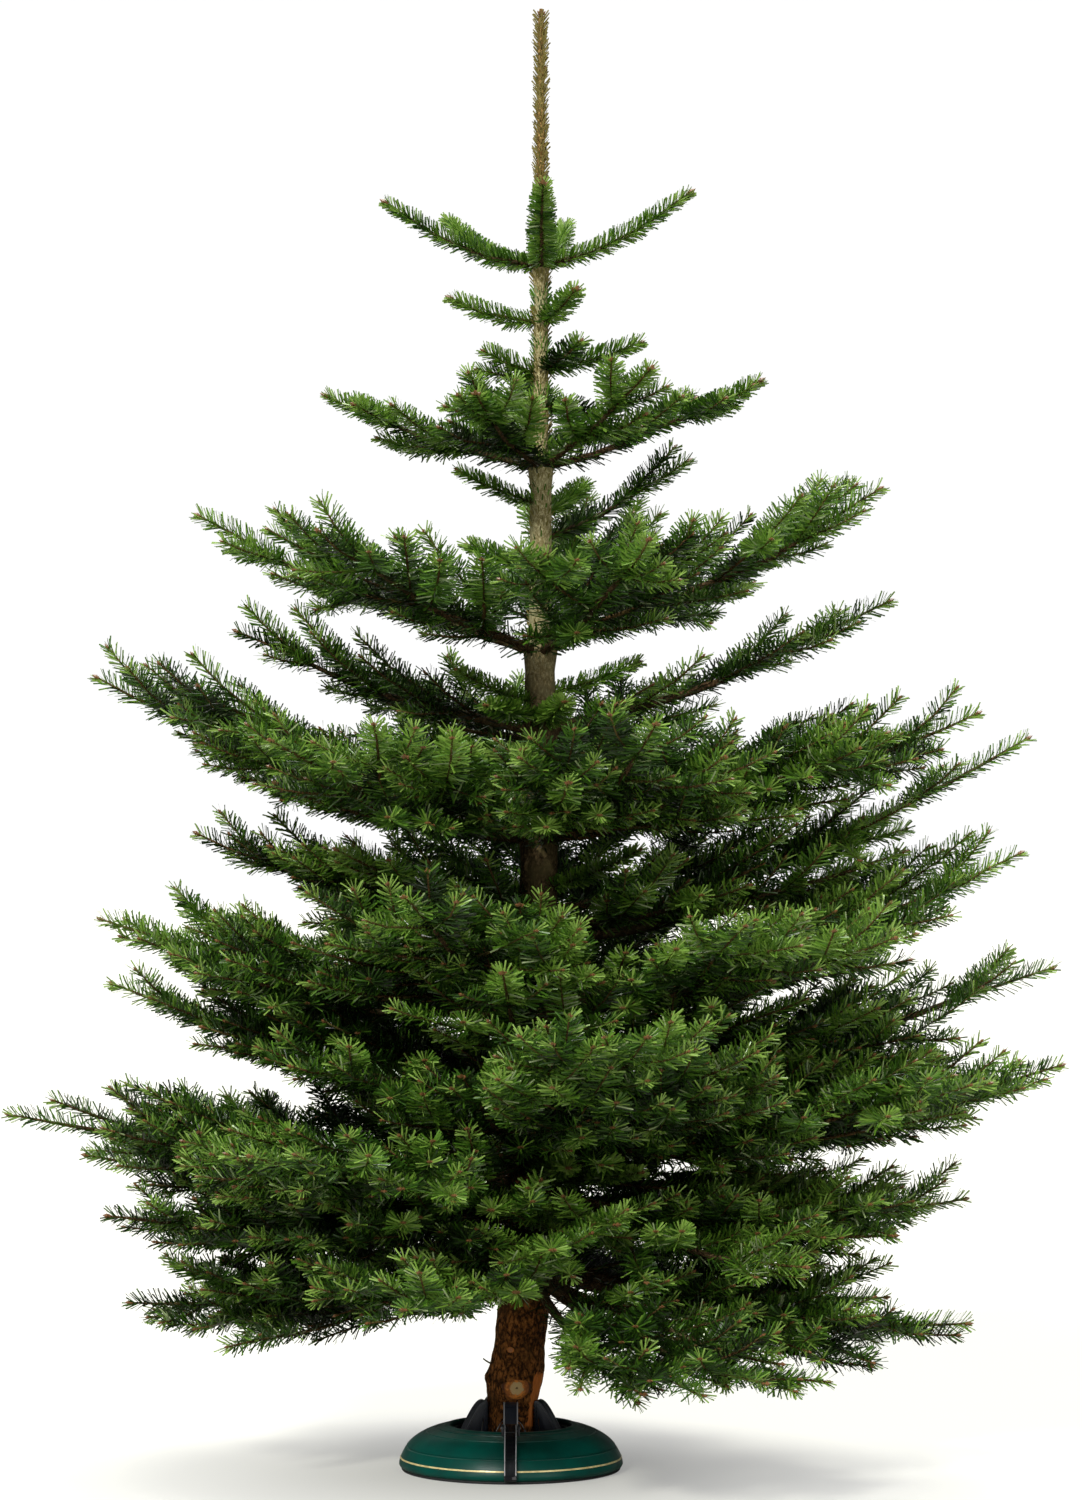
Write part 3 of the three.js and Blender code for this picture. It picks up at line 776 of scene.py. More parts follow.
# Short shoots straight out of the stem between the whorls: height, compass, length, climb.
free_room = {"foot": np.zeros(3), "tier": "stem", "name": "stem", "height": 1.75, "reach": 0.2, "years": 1}
STEM_SHOOTS = [(1.752, 182, 0.080, 0.034), (1.742, 176, 0.090, 0.016), (1.756, 3, 0.150, 0.046),
               (1.758, 318, 0.075, 0.040), (1.700, 340, 0.095, -0.020), (1.715, 100, 0.110, 0.030),
               (1.545, 190, 0.120, 0.050), (1.530, 60, 0.130, 0.050), (1.440, 150, 0.120, 0.040),
               (1.395, 300, 0.110, 0.040), (1.240, 20, 0.150, 0.050), (1.225, 215, 0.140, 0.050),
               (1.195, 285, 0.130, 0.030), (1.200, 238, 0.140, 0.020), (1.110, 310, 0.150, 0.050),
               (1.090, 120, 0.150, 0.040), (0.930, 330, 0.160, 0.060), (0.920, 200, 0.170, 0.050),
               (0.800, 270, 0.170, 0.050), (0.790, 60, 0.180, 0.050), (0.520, 300, 0.190, 0.010),
               (0.480, 284, 0.210, 0.020), (0.460, 312, 0.230, 0.030), (0.545, 270, 0.190, 0.030)]
for height, compass, length, climb in STEM_SHOOTS:
    out, side = outward(compass)
    foot = stem_axis(height) + out * stem_radius(height) * 0.7
    share = np.linspace(0, 1, 4)[:, None]
    points = foot + out * length * share + np.array([0, 0, climb]) * share ** 1.4
    shoots.append({"points": points, "age": 0, "order": 1, "room": free_room, "r0": 0.0026,
                   "r1": TIP_RADIUS, "last": True, "spray": len(shoots)})


def of_each_shoot(key):
    """One thing that is known of every shoot, as a row."""
    return np.array([shoot[key] for shoot in shoots])


lengths = np.array([np.linalg.norm(np.diff(s["points"], axis=0), axis=1).sum() for s in shoots])
ages = of_each_shoot("age")
orders = of_each_shoot("order")
last = of_each_shoot("last")
sprays = of_each_shoot("spray")
path = of_each_shoot("points")
base_radii = of_each_shoot("r0")
end_radii = of_each_shoot("r1")
heights = np.array([s["room"]["height"] for s in shoots])
reaches = np.array([s["room"]["reach"] for s in shoots])
ends = path[:, 3]
out_from_stem = np.linalg.norm((ends - stem_axis(np.clip(ends[:, 2], 0, 2.3)))[:, :2], axis=1)
outer = np.clip(out_from_stem / reaches, 0, 1.1)


# ---------------------------------------------------------------- boughs and twigs
# The wood of the limbs: each year's length is a slim tapering stick that grows out of the one
# before. Boughs are grey-brown and rough, twigs of the last years orange-brown and smooth.


def unit(v):
    """Directions of length one."""
    return v / np.maximum(1e-9, np.linalg.norm(v, axis=-1, keepdims=True))


def mesh_from(name, points, faces, paints=None, materials=(), smooth=False):
    """An object from arrays of points and of triangles or quads."""
    mesh = bpy.data.meshes.new(name)
    mesh.vertices.add(len(points))
    mesh.vertices.foreach_set("co", np.ascontiguousarray(points, dtype=np.float32).ravel())
    sides = faces.shape[1]
    mesh.loops.add(faces.size)
    mesh.loops.foreach_set("vertex_index", np.ascontiguousarray(faces, dtype=np.int32).ravel())
    mesh.polygons.add(len(faces))
    mesh.polygons.foreach_set("loop_start", np.arange(0, faces.size, sides, dtype=np.int32))
    for material in materials:
        mesh.materials.append(material)
    if paints is not None:
        mesh.polygons.foreach_set("material_index", np.ascontiguousarray(paints, dtype=np.int32))
    mesh.polygons.foreach_set("use_smooth", np.full(len(faces), smooth, dtype=bool))
    mesh.update(calc_edges=True)
    made = bpy.data.objects.new(name, mesh)
    bpy.context.scene.collection.objects.link(made)
    return made


def sticks(line, radius, sides):
    """Closed round sticks along many lines at once: line is (sticks, points, 3)."""
    count, rings = line.shape[:2]
    along = unit(np.gradient(line, axis=1))
    up = np.where(np.abs(along[..., 2:]) > 0.9, [[[0.0, 1.0, 0.0]]], [[[0.0, 0.0, 1.0]]])
    across = unit(np.cross(along, up))
    over = np.cross(across, along)
    turn = np.arange(sides) * 2 * math.pi / sides
    ring = (np.cos(turn)[:, None] * across[..., None, :] + np.sin(turn)[:, None] * over[..., None, :])
    points = (line[..., None, :] + ring * radius[..., None, None]).reshape(-1, 3)
    k = np.arange(sides)
    a = (np.arange(rings - 1)[:, None] * sides + k)
    b = (np.arange(rings - 1)[:, None] * sides + (k + 1) % sides)
    wall = np.stack([a, b, b + sides, a + sides], axis=-1).reshape(-1, 4)
    wall = np.concatenate([wall[:, [0, 1, 2]], wall[:, [0, 2, 3]]])
    fan = np.stack([np.zeros(sides - 2, int), np.arange(1, sides - 1), np.arange(2, sides)], axis=1)
    top = fan + (rings - 1) * sides
    one = np.concatenate([wall, fan[:, ::-1], top])
    faces = (one[None] + (np.arange(count) * rings * sides)[:, None, None]).reshape(-1, 3)
    return points, faces[:, ::-1]


def rounded(outline, steps=5):
    """A smooth line through a row of points, the ends kept."""
    points = [np.array(p, float) for p in outline]
    points = [2 * points[0] - points[1], *points, 2 * points[-1] - points[-2]]
    line = []
    for a, b, c, d in zip(points, points[1:], points[2:], points[3:]):
        for k in range(steps):
            t = k / steps
            bend = (2 * a - 5 * b + 4 * c - d) * t ** 2
            line.append(tuple(0.5 * (2 * b + (c - a) * t + bend + (3 * b - a - 3 * c + d) * t ** 3)))
    line.append(tuple(points[-2]))
    return line


bough_bark = bark_material("bough_bark", 160, (0.026, 0.015, 0.006), (0.165, 0.098, 0.045),
                           (0.095, 0.085, 0.036), 0.0010)
twig_bark = bark_material("twig_bark", 420, (0.040, 0.022, 0.008), (0.18, 0.100, 0.034),
                          (0.12, 0.10, 0.030), 0.0004)

BOUGH_RADIUS = 0.0042  # a limb this thick shows as a bough
BOUGH_RINGS = 10
thick = (orders == 0) & (base_radii > BOUGH_RADIUS)
grain_share = np.linspace(0, 1, BOUGH_RINGS)
part = np.minimum(2, (grain_share * 3).astype(int))
inner = grain_share * 3 - part
lines = np.empty((thick.sum(), BOUGH_RINGS, 3))
for axis in range(3):
    lines[..., axis] = path[thick][:, part, axis] * (1 - inner) + path[thick][:, part + 1, axis] * inner
widths = base_radii[thick][:, None] + (end_radii - base_radii)[thick][:, None] * grain_share
widths = widths * (1 + rng.normal(0, 0.045, widths.shape))
widths[:, 0] = base_radii[thick]
widths[:, -1] = end_radii[thick] * 1.02
points, faces = sticks(lines, widths, 9)
boughs = mesh_from("boughs", points, faces, materials=[bough_bark], smooth=True)
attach(boughs, "tree")
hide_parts(*[label for label in nodes if label.startswith("bough_")])

# the dead twig left on the butt
DEAD_TWIG = [(-0.0255, -0.0120, 0.1735), (-0.0330, -0.0140, 0.1712), (-0.0380, -0.0145, 0.1735),
             (-0.0445, -0.0150, 0.1782)]
line = np.array([rounded(DEAD_TWIG, 3)])
points, faces = sticks(line, np.linspace(0.0017, 0.0011, line.shape[1])[None], 8)
dead_twig = mesh_from("dead_twig", points, faces, materials=[bough_bark], smooth=True)
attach(dead_twig, "tree")

twigs = []
for order, sides in ((0, 5), (1, 4), (2, 3), (3, 3)):
    slim = ~thick & (orders == order)
    radii = np.stack([base_radii, (base_radii + 2 * end_radii) / 3, end_radii], axis=1)[slim]
    points, faces = sticks(path[slim][:, [0, 2, 3]], radii, sides)
    twigs.append((points, faces))
shift = np.cumsum([0] + [len(points) for points, faces in twigs[:-1]])
all_points = np.concatenate([points for points, faces in twigs])
all_faces = np.concatenate([faces + more for (points, faces), more in zip(twigs, shift)])
twigs = mesh_from("twigs", all_points, all_faces, materials=[twig_bark], smooth=True)
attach(twigs, "tree")


# ---------------------------------------------------------------- needles
# Flat blunt needles, dark and glossy above, set all round the upper side of each shoot like the bristles of a
# brush and combed towards its tip. Each spray has a tone of its own, fresher at the tips of the limbs and
# darker inside the crown: partly the needles' own age, and partly painted light on the outer tips and painted
# shade inside.

GREENS = {
    "needle_shade": (0.006, 0.015, 0.002), "needle_deep": (0.012, 0.035, 0.003),
    "needle_green": (0.023, 0.070, 0.006), "needle_mid": (0.045, 0.120, 0.009),
    "needle_bright": (0.083, 0.195, 0.016), "needle_fresh": (0.150, 0.280, 0.034),
    "needle_olive": (0.210, 0.175, 0.048), "needle_pale": (0.28, 0.36, 0.17),
    "needle_tip": (0.215, 0.350, 0.065)}
# The first six are steps from dark to light. Olive is for the stem, pale is an underside, and the last is the
# rosette at a tip, paler partly as a painted highlight.
BRIGHTEST = list(GREENS).index("needle_fresh")
OLIVE = list(GREENS).index("needle_olive")
PALE = list(GREENS).index("needle_pale")
TIP_GREEN = list(GREENS).index("needle_tip")
TUFT_LENGTH = 0.0058
GOLDEN_TURN = 0.61803
needle_paints = []
for name, colour in GREENS.items():
    paint, tree, shader = new_material(name)
    set_inputs(shader, {"Base Color": colour, "Roughness": 0.33, "Specular IOR Level": 0.42})
    needle_paints.append(paint)


def needles_on(line, count, length, tone, radius, all_round=False, ending=None, combed=None):
    """Corner points and greens of needles on shoots given by four points each. Tone is a shoot's place in
    GREENS. The needles of a combed shoot part to both sides, an ending shoot opens as a rosette painted paler
    towards its tip, partly for the pale undersides there and partly as a painted highlight, and all_round is
    for the upright leader."""
    which = np.repeat(np.arange(len(line)), count)
    total = len(which)
    first = np.concatenate([[0], np.cumsum(count)[:-1]])
    order = np.arange(total) - np.repeat(first, count)
    # five or so needles stand close together, then there is a gap
    run = np.linalg.norm(np.diff(line, axis=1), axis=2).sum(axis=1)
    tufts = np.maximum(3, np.round(run / TUFT_LENGTH))[which]
    t = (order + 0.5 + rng.uniform(-0.35, 0.35, total)) / np.repeat(count, count)
    tuft = np.minimum(np.floor(t * tufts), tufts - 1)
    t = (tuft + 0.5 + (t * tufts - tuft - 0.5) * 0.45) / tufts
    part = np.minimum(2, (t * 3).astype(int))
    inner = (t * 3 - part)[:, None]
    a, b = line[which, part], line[which, part + 1]
    at = a + (b - a) * inner
    along = unit(b - a)
    up = np.tile(np.array([0, 0, 1.0]), (total, 1))
    steep = np.abs(along[:, 2]) > 0.93
    up[steep] = np.array([0.0, -1.0, 0.0])
    side = unit(np.cross(along, up))
    up = np.cross(side, along)
    spiral = (order * GOLDEN_TURN + rng.random(len(line))[which]) % 1.0 * 2 - 1
    shape = 0.72 + 0.28 * np.sin(math.pi * np.clip(t * 0.9 + 0.08, 0, 1))
    if all_round:
        theta = spiral * math.pi
        ahead = rng.normal(0.62, 0.1, total)
        size = length[which] * rng.uniform(0.8, 1.1, total)
    else:
        under = rng.random(total) < 0.14 + 0.34 * np.clip((t - 0.75) * 4, 0, 1)
        fan = np.where(combed[which] & (t < 0.80), 0.50 + 1.40 * np.abs(spiral), 2.05 * np.abs(spiral) ** 0.8)
        theta = np.sign(spiral) * np.where(under, rng.uniform(1.9, 3.0, total), fan)
        flat = np.abs(np.sin(theta))
        ahead = np.where(under, 0.9, 1.05 + 0.2 * flat) + rng.normal(0, 0.08, total) - 0.18 * t
        size = length[which] * shape * np.where(under, 0.8, 0.84 + 0.16 * flat)
        size = size * rng.uniform(0.9, 1.08, total)
        ahead = ahead * (1 - 0.26 * np.clip((t - 0.8) / 0.2, 0, 1))
    radial = np.cos(theta)[:, None] * up + np.sin(theta)[:, None] * side
    way = unit(np.cos(ahead)[:, None] * along + np.sin(ahead)[:, None] * radial)
    face = up * 0.55 + along * -0.3 + rng.normal(0, 0.42, (total, 3))
    across = unit(np.cross(way, face))
    face = np.cross(across, way)
    half = (0.00122 + 0.00026 * rng.random(total))[:, None]
    root = at + radial * radius[which][:, None] * 0.8
    tip = root + way * size[:, None] + face * (size * rng.normal(0.03, 0.05, total))[:, None]
    twist = across * 0.9 + face * 0.35
    corners = np.stack([root + across * half * 0.85, root - across * half * 0.85,
                        tip - twist * half * 0.9, tip + twist * half * 0.9], axis=1)
    # painted light and shade: a tuft is painted lighter as if it catches the light, or darker as if in the
    # shade of the next, by a number drawn from its place
    shift = (np.sin(tuft * 78.233 + which * 12.9898 + np.sign(spiral) * 4.1) * 43758.5453) % 1.0
    shift = 0.75 * shift + 0.25 * rng.random(total)
    step = (shift > 0.64).astype(int) + (shift > 0.80) - (shift < 0.42) - (shift < 0.26)
    # towards the end of an ending shoot the needles are painted lighter, partly a painted highlight on the
    # lit tips
    if ending is not None:
        step = step + (ending[which] & (t > 0.80)) + (ending[which] & (t > 0.93))
    paint = np.clip(tone[which] + step, 0, BRIGHTEST)
    # some needles show their pale underside
    paint = np.where((tone[which] >= 2) & (shift > 0.875), PALE, paint)
    paint = np.where(tone[which] >= OLIVE, tone[which], paint)
    # the rosette at a tip is paler, partly its needles' pale undersides and partly a painted highlight
    if ending is not None:
        rosette = ending[which] & (tone[which] >= 2) & (t > 0.88) & (shift > 0.30)
        paint = np.where(rosette, TIP_GREEN, paint)
    return corners, paint


def needle_piece(name, corners, paint):
    """A piece of needles, two triangles each."""
    base = np.arange(len(corners))[:, None] * 4
    faces = np.concatenate([base + [0, 1, 2], base + [0, 2, 3]], axis=1).reshape(-1, 3)
    made = mesh_from(name, corners.reshape(-1, 3), faces, np.repeat(paint, 2), needle_paints)
    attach(made, "tree")
    return made


NEEDLE_TOTAL = 490000
PIECE_TOTAL = 97000  # the most needles in one piece
# fewer needles on old wood and inside the crown, more where the crown is open
density = np.array([1.2, 1.0, 0.8, 0.55, 0.4, 0.3, 0.25])[np.minimum(ages, 6)]
density *= np.where(heights > 1.25, 1.0, np.clip(0.25 + 1.1 * outer, 0.3, 1.0))
density *= np.interp(heights, [1.0, 1.3, 1.6, 1.75], [1.0, 1.25, 2.0, 2.9])
scale = NEEDLE_TOTAL / (lengths * density).sum()
counts = np.maximum(6, (lengths * density * scale)).astype(int)
needle_length = np.interp(heights, [1.3, 1.6, 1.92], [0.0330, 0.0305, 0.0285])
needle_length = needle_length * rng.uniform(0.9, 1.08, len(shoots)) * np.where(ages == 0, 0.96, 1.0)
# how light each shoot is: fresher outside and where it is young, darker inside the crown, partly the needles'
# age and partly painted light and painted shade, each spray a little its own way
light = 0.42 * outer ** 1.6 + 0.30 * (ages == 0) - 0.08 * ages + rng.normal(0.0, 0.15, len(shoots))
light += rng.normal(0.0, 0.21, len(shoots))[sprays]
light += 0.08 * (heights > 1.25) + 0.14 * (heights > 1.5) + 0.14 * (heights > 1.7)
# painted shade and painted light: the low left side is painted a deeper green as if in its neighbours' shade,
# and the right side is painted fresher where it lies in shade
light -= 0.16 * ((ends[:, 0] < -0.2) & (heights < 0.66))
light += 0.22 * ((ends[:, 0] > 0.05) & (np.abs(ends[:, 2] - 0.97) < 0.13))
light += 0.15 * ((ends[:, 0] > 0.05) & (np.abs(ends[:, 2] - 0.42) < 0.13))
tones = np.clip(np.round(light * 5.4), 0, BRIGHTEST).astype(int)
# in the shade low down the needles part to both sides of a twig
combed = (heights < 0.66) & (rng.random(len(shoots)) < 0.8)

# whole limbs are gathered into pieces of needles, each in place of those limbs' CAD foliage
start = 0
piece = 0
while start < len(shoots):
    stop = start
    used = 0
    while stop < len(shoots):
        more = stop
        while more < len(shoots) and shoots[more]["room"] is shoots[stop]["room"]:
            more += 1
        extra = counts[stop:more].sum()
        if used and used + extra > PIECE_TOTAL:
            break
        used += extra
        stop = more
    sel = slice(start, stop)
    corners, paint = needles_on(path[sel], counts[sel], needle_length[sel], tones[sel], end_radii[sel],
                                ending=last[sel], combed=combed[sel])
    piece += 1
    made = needle_piece(f"needles_{piece}", corners, paint)
    held = []
    for s in shoots[start:stop]:
        label = f"foliage_{s['room']['tier']}_{s['room']['name']}"
        if label not in held and label in nodes:
            held.append(label)
    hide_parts(*held)
    start = stop

# the leader and the young stem under it keep short needles all round, in 25 steps up from the
# third whorl
stem_steps = np.linspace(1.33, 2.325, 26)
pace = stem_steps[1] - stem_steps[0]
stem_steps = stem_steps[:-1]
stem_lines = np.array([[stem_axis(h + pace * k / 3) for k in range(4)] for h in stem_steps])
young = stem_steps > 1.93
stem_counts = np.where(young, 66, np.where(stem_steps > 1.6, 60, 26))
stem_tones = np.where(young, OLIVE, np.where(np.arange(len(stem_steps)) % 2, 4, OLIVE))
corners, paint = needles_on(stem_lines, stem_counts, np.where(young, 0.0150, 0.0165), stem_tones,
                            stem_radius(stem_steps), all_round=True)
needle_piece("leader_needles", corners, paint)


# ---------------------------------------------------------------- buds
# Three red-brown winter buds sit at the tip of every shoot, and a crown of them on the leader.
# Each is a hard cone of scales over next year's growth.


def buds_at(at, along, size):
    """Pointed buds with eight faces: a foot, a belly of four points and a tip each."""
    up = np.where(np.abs(along[:, 2:]) > 0.9, [[0.0, 1.0, 0.0]], [[0.0, 0.0, 1.0]])
    across = unit(np.cross(along, up))
    over = np.cross(across, along)
    s = size[:, None]
    belly = at + along * s * 0.42
    ring = [belly + (math.cos(t) * across + math.sin(t) * over) * s * 0.30
            for t in (0.0, 1.5708, 3.1416, 4.7124)]
    points = np.stack([at, *ring, at + along * s], axis=1)
    one = np.array([(0, 2, 1), (0, 3, 2), (0, 4, 3), (0, 1, 4), (5, 1, 2), (5, 2, 3), (5, 3, 4), (5, 4, 1)])
    faces = (one[None] + (np.arange(len(at)) * 6)[:, None, None]).reshape(-1, 3)
    return points.reshape(-1, 3), faces


bud_scale, tree, shader = new_material("bud_scale")
speck = noise_by(tree, tree.nodes.new("ShaderNodeTexCoord").outputs["Object"], 700)
scales = mix_by(tree, speck, (0.070, 0.026, 0.010), (0.30, 0.145, 0.055))
tree.links.new(scales, shader.inputs["Base Color"])
shader.inputs["Roughness"].default_value = 0.35

tip_at = ends[last]
tip_along = unit(path[last][:, 3] - path[last][:, 2])
tip_side = unit(np.cross(tip_along, [[0.0, 0.0, 1.0]]))
bud_size = np.where(orders[last] == 0, 0.0125, 0.0090) * np.interp(heights[last], [1.3, 1.7], [1.0, 1.25])
at = np.concatenate([tip_at, tip_at - tip_along * 0.002, tip_at - tip_along * 0.002])
way = np.concatenate([tip_along, unit(tip_along + tip_side * 0.95), unit(tip_along - tip_side * 0.95)])
size = np.concatenate([bud_size, bud_size * 0.85, bud_size * 0.85])
# on the leader one bud stands in a crown of five, and three more sit down its side
crown_turn = np.arange(5) * 2 * math.pi / 5
leader_tip = stem_axis(2.322)
at = np.concatenate([at, np.tile(leader_tip + [0, 0, 0.003], (5, 1)), [leader_tip + [0, 0, 0.004]],
                     stem_axis(np.array([2.238, 2.160, 2.128]))])
crown_way = np.stack([np.cos(crown_turn) * 0.7, np.sin(crown_turn) * 0.7, np.full(5, 0.7)], axis=1)
way = np.concatenate([way, crown_way, [[0, 0, 1.0]],
                      unit(np.array([[0.9, -0.2, 0.5], [-0.9, -0.3, 0.5], [0.9, -0.3, 0.5]]))])
size = np.concatenate([size, np.full(5, 0.011), [0.011], np.full(3, 0.013)])
points, faces = buds_at(at, way, size)
buds = mesh_from("buds", points, faces, materials=[bud_scale], smooth=False)
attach(buds, "tree")


# ---------------------------------------------------------------- stand base
# The heavy moulded base of the stand: a teal water tank shaped as a low dome, with a wide mouth
# for the trunk, a groove round its skirt, a thin gold line below that, and a rubber foot.


def laid_out(name, outline, across, fill):
    """A closed outline of (radius, height) in an upright plane, at a distance across from the
    stand's axis, in millimetres. It is left in edit mode with everything selected."""
    bpy.ops.object.select_all(action="DESELECT")
    bpy.ops.mesh.primitive_circle_add(vertices=len(outline), radius=0.01, fill_type=fill)
    made = bpy.context.object
    made.name = name
    for vertex, (radius, height) in zip(made.data.vertices, outline):
        vertex.co = (radius / 1000, across / 1000, height / 1000)
    bpy.ops.object.mode_set(mode="EDIT")
    bpy.ops.mesh.select_all(action="SELECT")
    return made


def spun(name, profile, sides=144):
    """A round moulding: its outline spun about the upright axis."""
    made = laid_out(name, profile, 0, "NOTHING")
    bpy.ops.mesh.spin(steps=sides, angle=2 * math.pi, center=(0, 0, 0), axis=(0, 0, 1), dupli=False)
    bpy.ops.mesh.select_all(action="SELECT")
    bpy.ops.mesh.remove_doubles(threshold=0.00001)
    bpy.ops.mesh.delete_loose()
    close_edit()
    bpy.ops.object.shade_smooth_by_angle(angle=math.radians(32))
    return made


def moulded_group():
    """A moulded skin: a faint orange peel, a pale coat on what faces up that is partly dust, with specks of
    it, and partly a painted sheen from the light above, and a dull patch here and there."""
    tree, give, take = new_group("moulded_plastic", [
        ("Color", "NodeSocketColor", (0.1, 0.1, 0.1, 1)), ("Dust And Sheen", "NodeSocketColor", (0.3, 0.3, 0.28, 1)),
        ("Dust Amount", "NodeSocketFloat", 0.2), ("Rough", "NodeSocketFloat", 0.3),
    ], [("Color", "NodeSocketColor"), ("Rough", "NodeSocketFloat"), ("Height", "NodeSocketFloat")])
    place = tree.nodes.new("ShaderNodeTexCoord").outputs["Object"]
    peel = noise_by(tree, place, 520, 2)
    cloud = noise_by(tree, place, 26, 5)
    speck = tree.nodes.new("ShaderNodeTexVoronoi")
    speck.inputs["Scale"].default_value = 260
    tree.links.new(place, speck.inputs["Vector"])
    shape = tree.nodes.new("ShaderNodeNewGeometry")
    facing = tree.nodes.new("ShaderNodeSeparateXYZ")
    tree.links.new(shape.outputs["Normal"], facing.inputs["Vector"])
    # what faces up takes a pale coat, partly dust and partly a painted sheen
    up = ramp_by(tree, facing.outputs["Z"], 0.86, 0.995)
    patches = ramp_by(tree, cloud, 0.40, 0.72)
    grains = ramp_by(tree, speck.outputs["Distance"], 0.10, 0.22, 1.0, 0.0)
    patchy = combine(tree, "ADD", combine(tree, "MULTIPLY", patches, 0.7), 0.3)
    dust_and_sheen = combine(tree, "MULTIPLY", up, patchy)
    dust_and_sheen = combine(tree, "MULTIPLY", dust_and_sheen, give.outputs["Dust Amount"])
    specks = combine(tree, "MULTIPLY", combine(tree, "MULTIPLY", grains, up), 0.12)
    dust_and_sheen = combine(tree, "ADD", dust_and_sheen, specks)
    dull = ramp_by(tree, cloud, 0.3, 0.7, 0.0, 0.35)
    deep = mix_by(tree, dull, give.outputs["Color"], (0.004, 0.010, 0.012))
    tree.links.new(mix_by(tree, dust_and_sheen, deep, give.outputs["Dust And Sheen"]), take.inputs["Color"])
    rough = combine(tree, "ADD", give.outputs["Rough"], combine(tree, "MULTIPLY", dust_and_sheen, 0.5))
    rough = combine(tree, "ADD", rough, ramp_by(tree, cloud, 0.35, 0.75, -0.03, 0.08))
    tree.links.new(rough, take.inputs["Rough"])
    relief = combine(tree, "ADD", peel, combine(tree, "MULTIPLY", grains, 0.4))
    tree.links.new(relief, take.inputs["Height"])
    return tree


MOULDED = moulded_group()


def moulded_material(name, colour, rough, dust=0.2, dust_and_sheen_colour=(0.26, 0.27, 0.25), depth=0.00006):
    """A plastic, rubber, metal or highlight-paint finish with that skin, whose coat on what faces up is
    partly dust and partly a painted sheen.
    """
    made, tree, shader = new_material(name)
    finish = group_by(tree, MOULDED,
                      {"Color": colour, "Dust And Sheen": dust_and_sheen_colour, "Dust Amount": dust, "Rough": rough})
    tree.links.new(finish.outputs["Color"], shader.inputs["Base Color"])
    tree.links.new(finish.outputs["Rough"], shader.inputs["Roughness"])
    bump_by(tree, finish.outputs["Height"], 0.5, depth)
    return made


# The tank's skin from the rubber foot up to the mouth, and its wall from the mouth down to the
# spike and back under the floor.
OUTSIDE = [(174.6, 4.4), (177.4, 6.2), (179.0, 9.5), (178.9, 12), (178.2, 15.5), (177.1, 19),
           (175.7, 23), (173.9, 27), (171.7, 31.2), (169.6, 34.8), (168.8, 36.0), (166.8, 36.5),
           (166.1, 37.5), (166.4, 38.6), (166.9, 39.3), (165.2, 41.6), (161.6, 45.4), (157.2, 49.2),
           (152.2, 52.9), (146.6, 56.4), (140.8, 59.5), (138.6, 60.6), (138.0, 59.8), (136.2, 60.5),
           (135.8, 61.9), (134.0, 62.6), (127.4, 65.1), (122.4, 66.7), (120.6, 67.2), (120.0, 66.3),
           (118.0, 66.8), (117.6, 68.0), (115.4, 68.5), (111.0, 69.3), (108.8, 69.7), (107.4, 70.4),
           (106.0, 71.4), (103.6, 72.2), (100.8, 72.5), (98.6, 72.0), (97.3, 70.8), (97.0, 69.2)]
INSIDE = [(97.2, 65.5), (104, 65), (117, 63), (136, 56), (151.5, 47), (164, 33), (171.0, 19),
          (172.0, 8), (60, 8), (38, 8), (37.4, 14.9), (36, 15.6), (6.2, 15.6), (6.0, 20), (5.0, 26),
          (1.4, 33.0), (0, 33.6), (0, 3.6), (60, 3.6), (171, 3.6)]
base = spun("stand_base", OUTSIDE + INSIDE)
# its upper faces carry the pale coat of dust and painted sheen
teal = moulded_material("teal_plastic", (0.001, 0.062, 0.046), 0.36, 0.42, (0.22, 0.27, 0.23))
teal.node_tree.nodes["Principled BSDF"].inputs["Specular IOR Level"].default_value = 0.20
base.data.materials.append(teal)
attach(base, "tree")
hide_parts("stand_bowl")

gold_line = spun("gold_line", [(176.9, 18.9), (177.6, 19.0), (177.35, 20.3), (176.85, 21.5), (176.1, 21.4)])
gold_paint, tree, shader = new_material("gold_paint")
shader.inputs["Metallic"].default_value = 0.15
worn = noise_by(tree, tree.nodes.new("ShaderNodeTexCoord").outputs["Object"], 130)
gilt = mix_by(tree, ramp_by(tree, worn, 0.35, 0.65), (0.78, 0.66, 0.32), (0.58, 0.47, 0.21))
tree.links.new(gilt, shader.inputs["Base Color"])
tree.links.new(ramp_by(tree, worn, 0.3, 0.7, 0.28, 0.5), shader.inputs["Roughness"])
gold_line.data.materials.append(gold_paint)
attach(gold_line, "tree")

rubber_foot = spun("rubber_foot", [(150, 0), (172.4, 0), (174.2, 0.5), (175.2, 1.8), (175.0, 3.6),
                                   (174.0, 4.5), (150, 4.5)])
black_rubber = moulded_material("black_rubber", (0.010, 0.010, 0.010), 0.75, 0.25, (0.10, 0.10, 0.09), 0.0002)
rubber_foot.data.materials.append(black_rubber)
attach(rubber_foot, "tree")


# ---------------------------------------------------------------- claw ring
# A black ring inside the mouth carries a pair of ears and a steel pin for each of the five
# claws. It is moulded in one, and the pins are pressed through.

FRONT = 270  # compass angle of the side with the pedal
CLAW_COUNT = 5
CLAW_COMPASS = [FRONT + 360 * n / CLAW_COUNT for n in range(CLAW_COUNT)]
CLAW_WIDTH = 23.6
PIVOT = (79.0, 50.0)  # radius and height of a claw's pin
EAR_THICKNESS = 4.0
EAR_OFFSET = CLAW_WIDTH / 2 + 2.7
black_plastic = moulded_material("black_plastic", (0.014, 0.016, 0.021), 0.38, 0.18,
                                 (0.09, 0.10, 0.11), 0.00008)


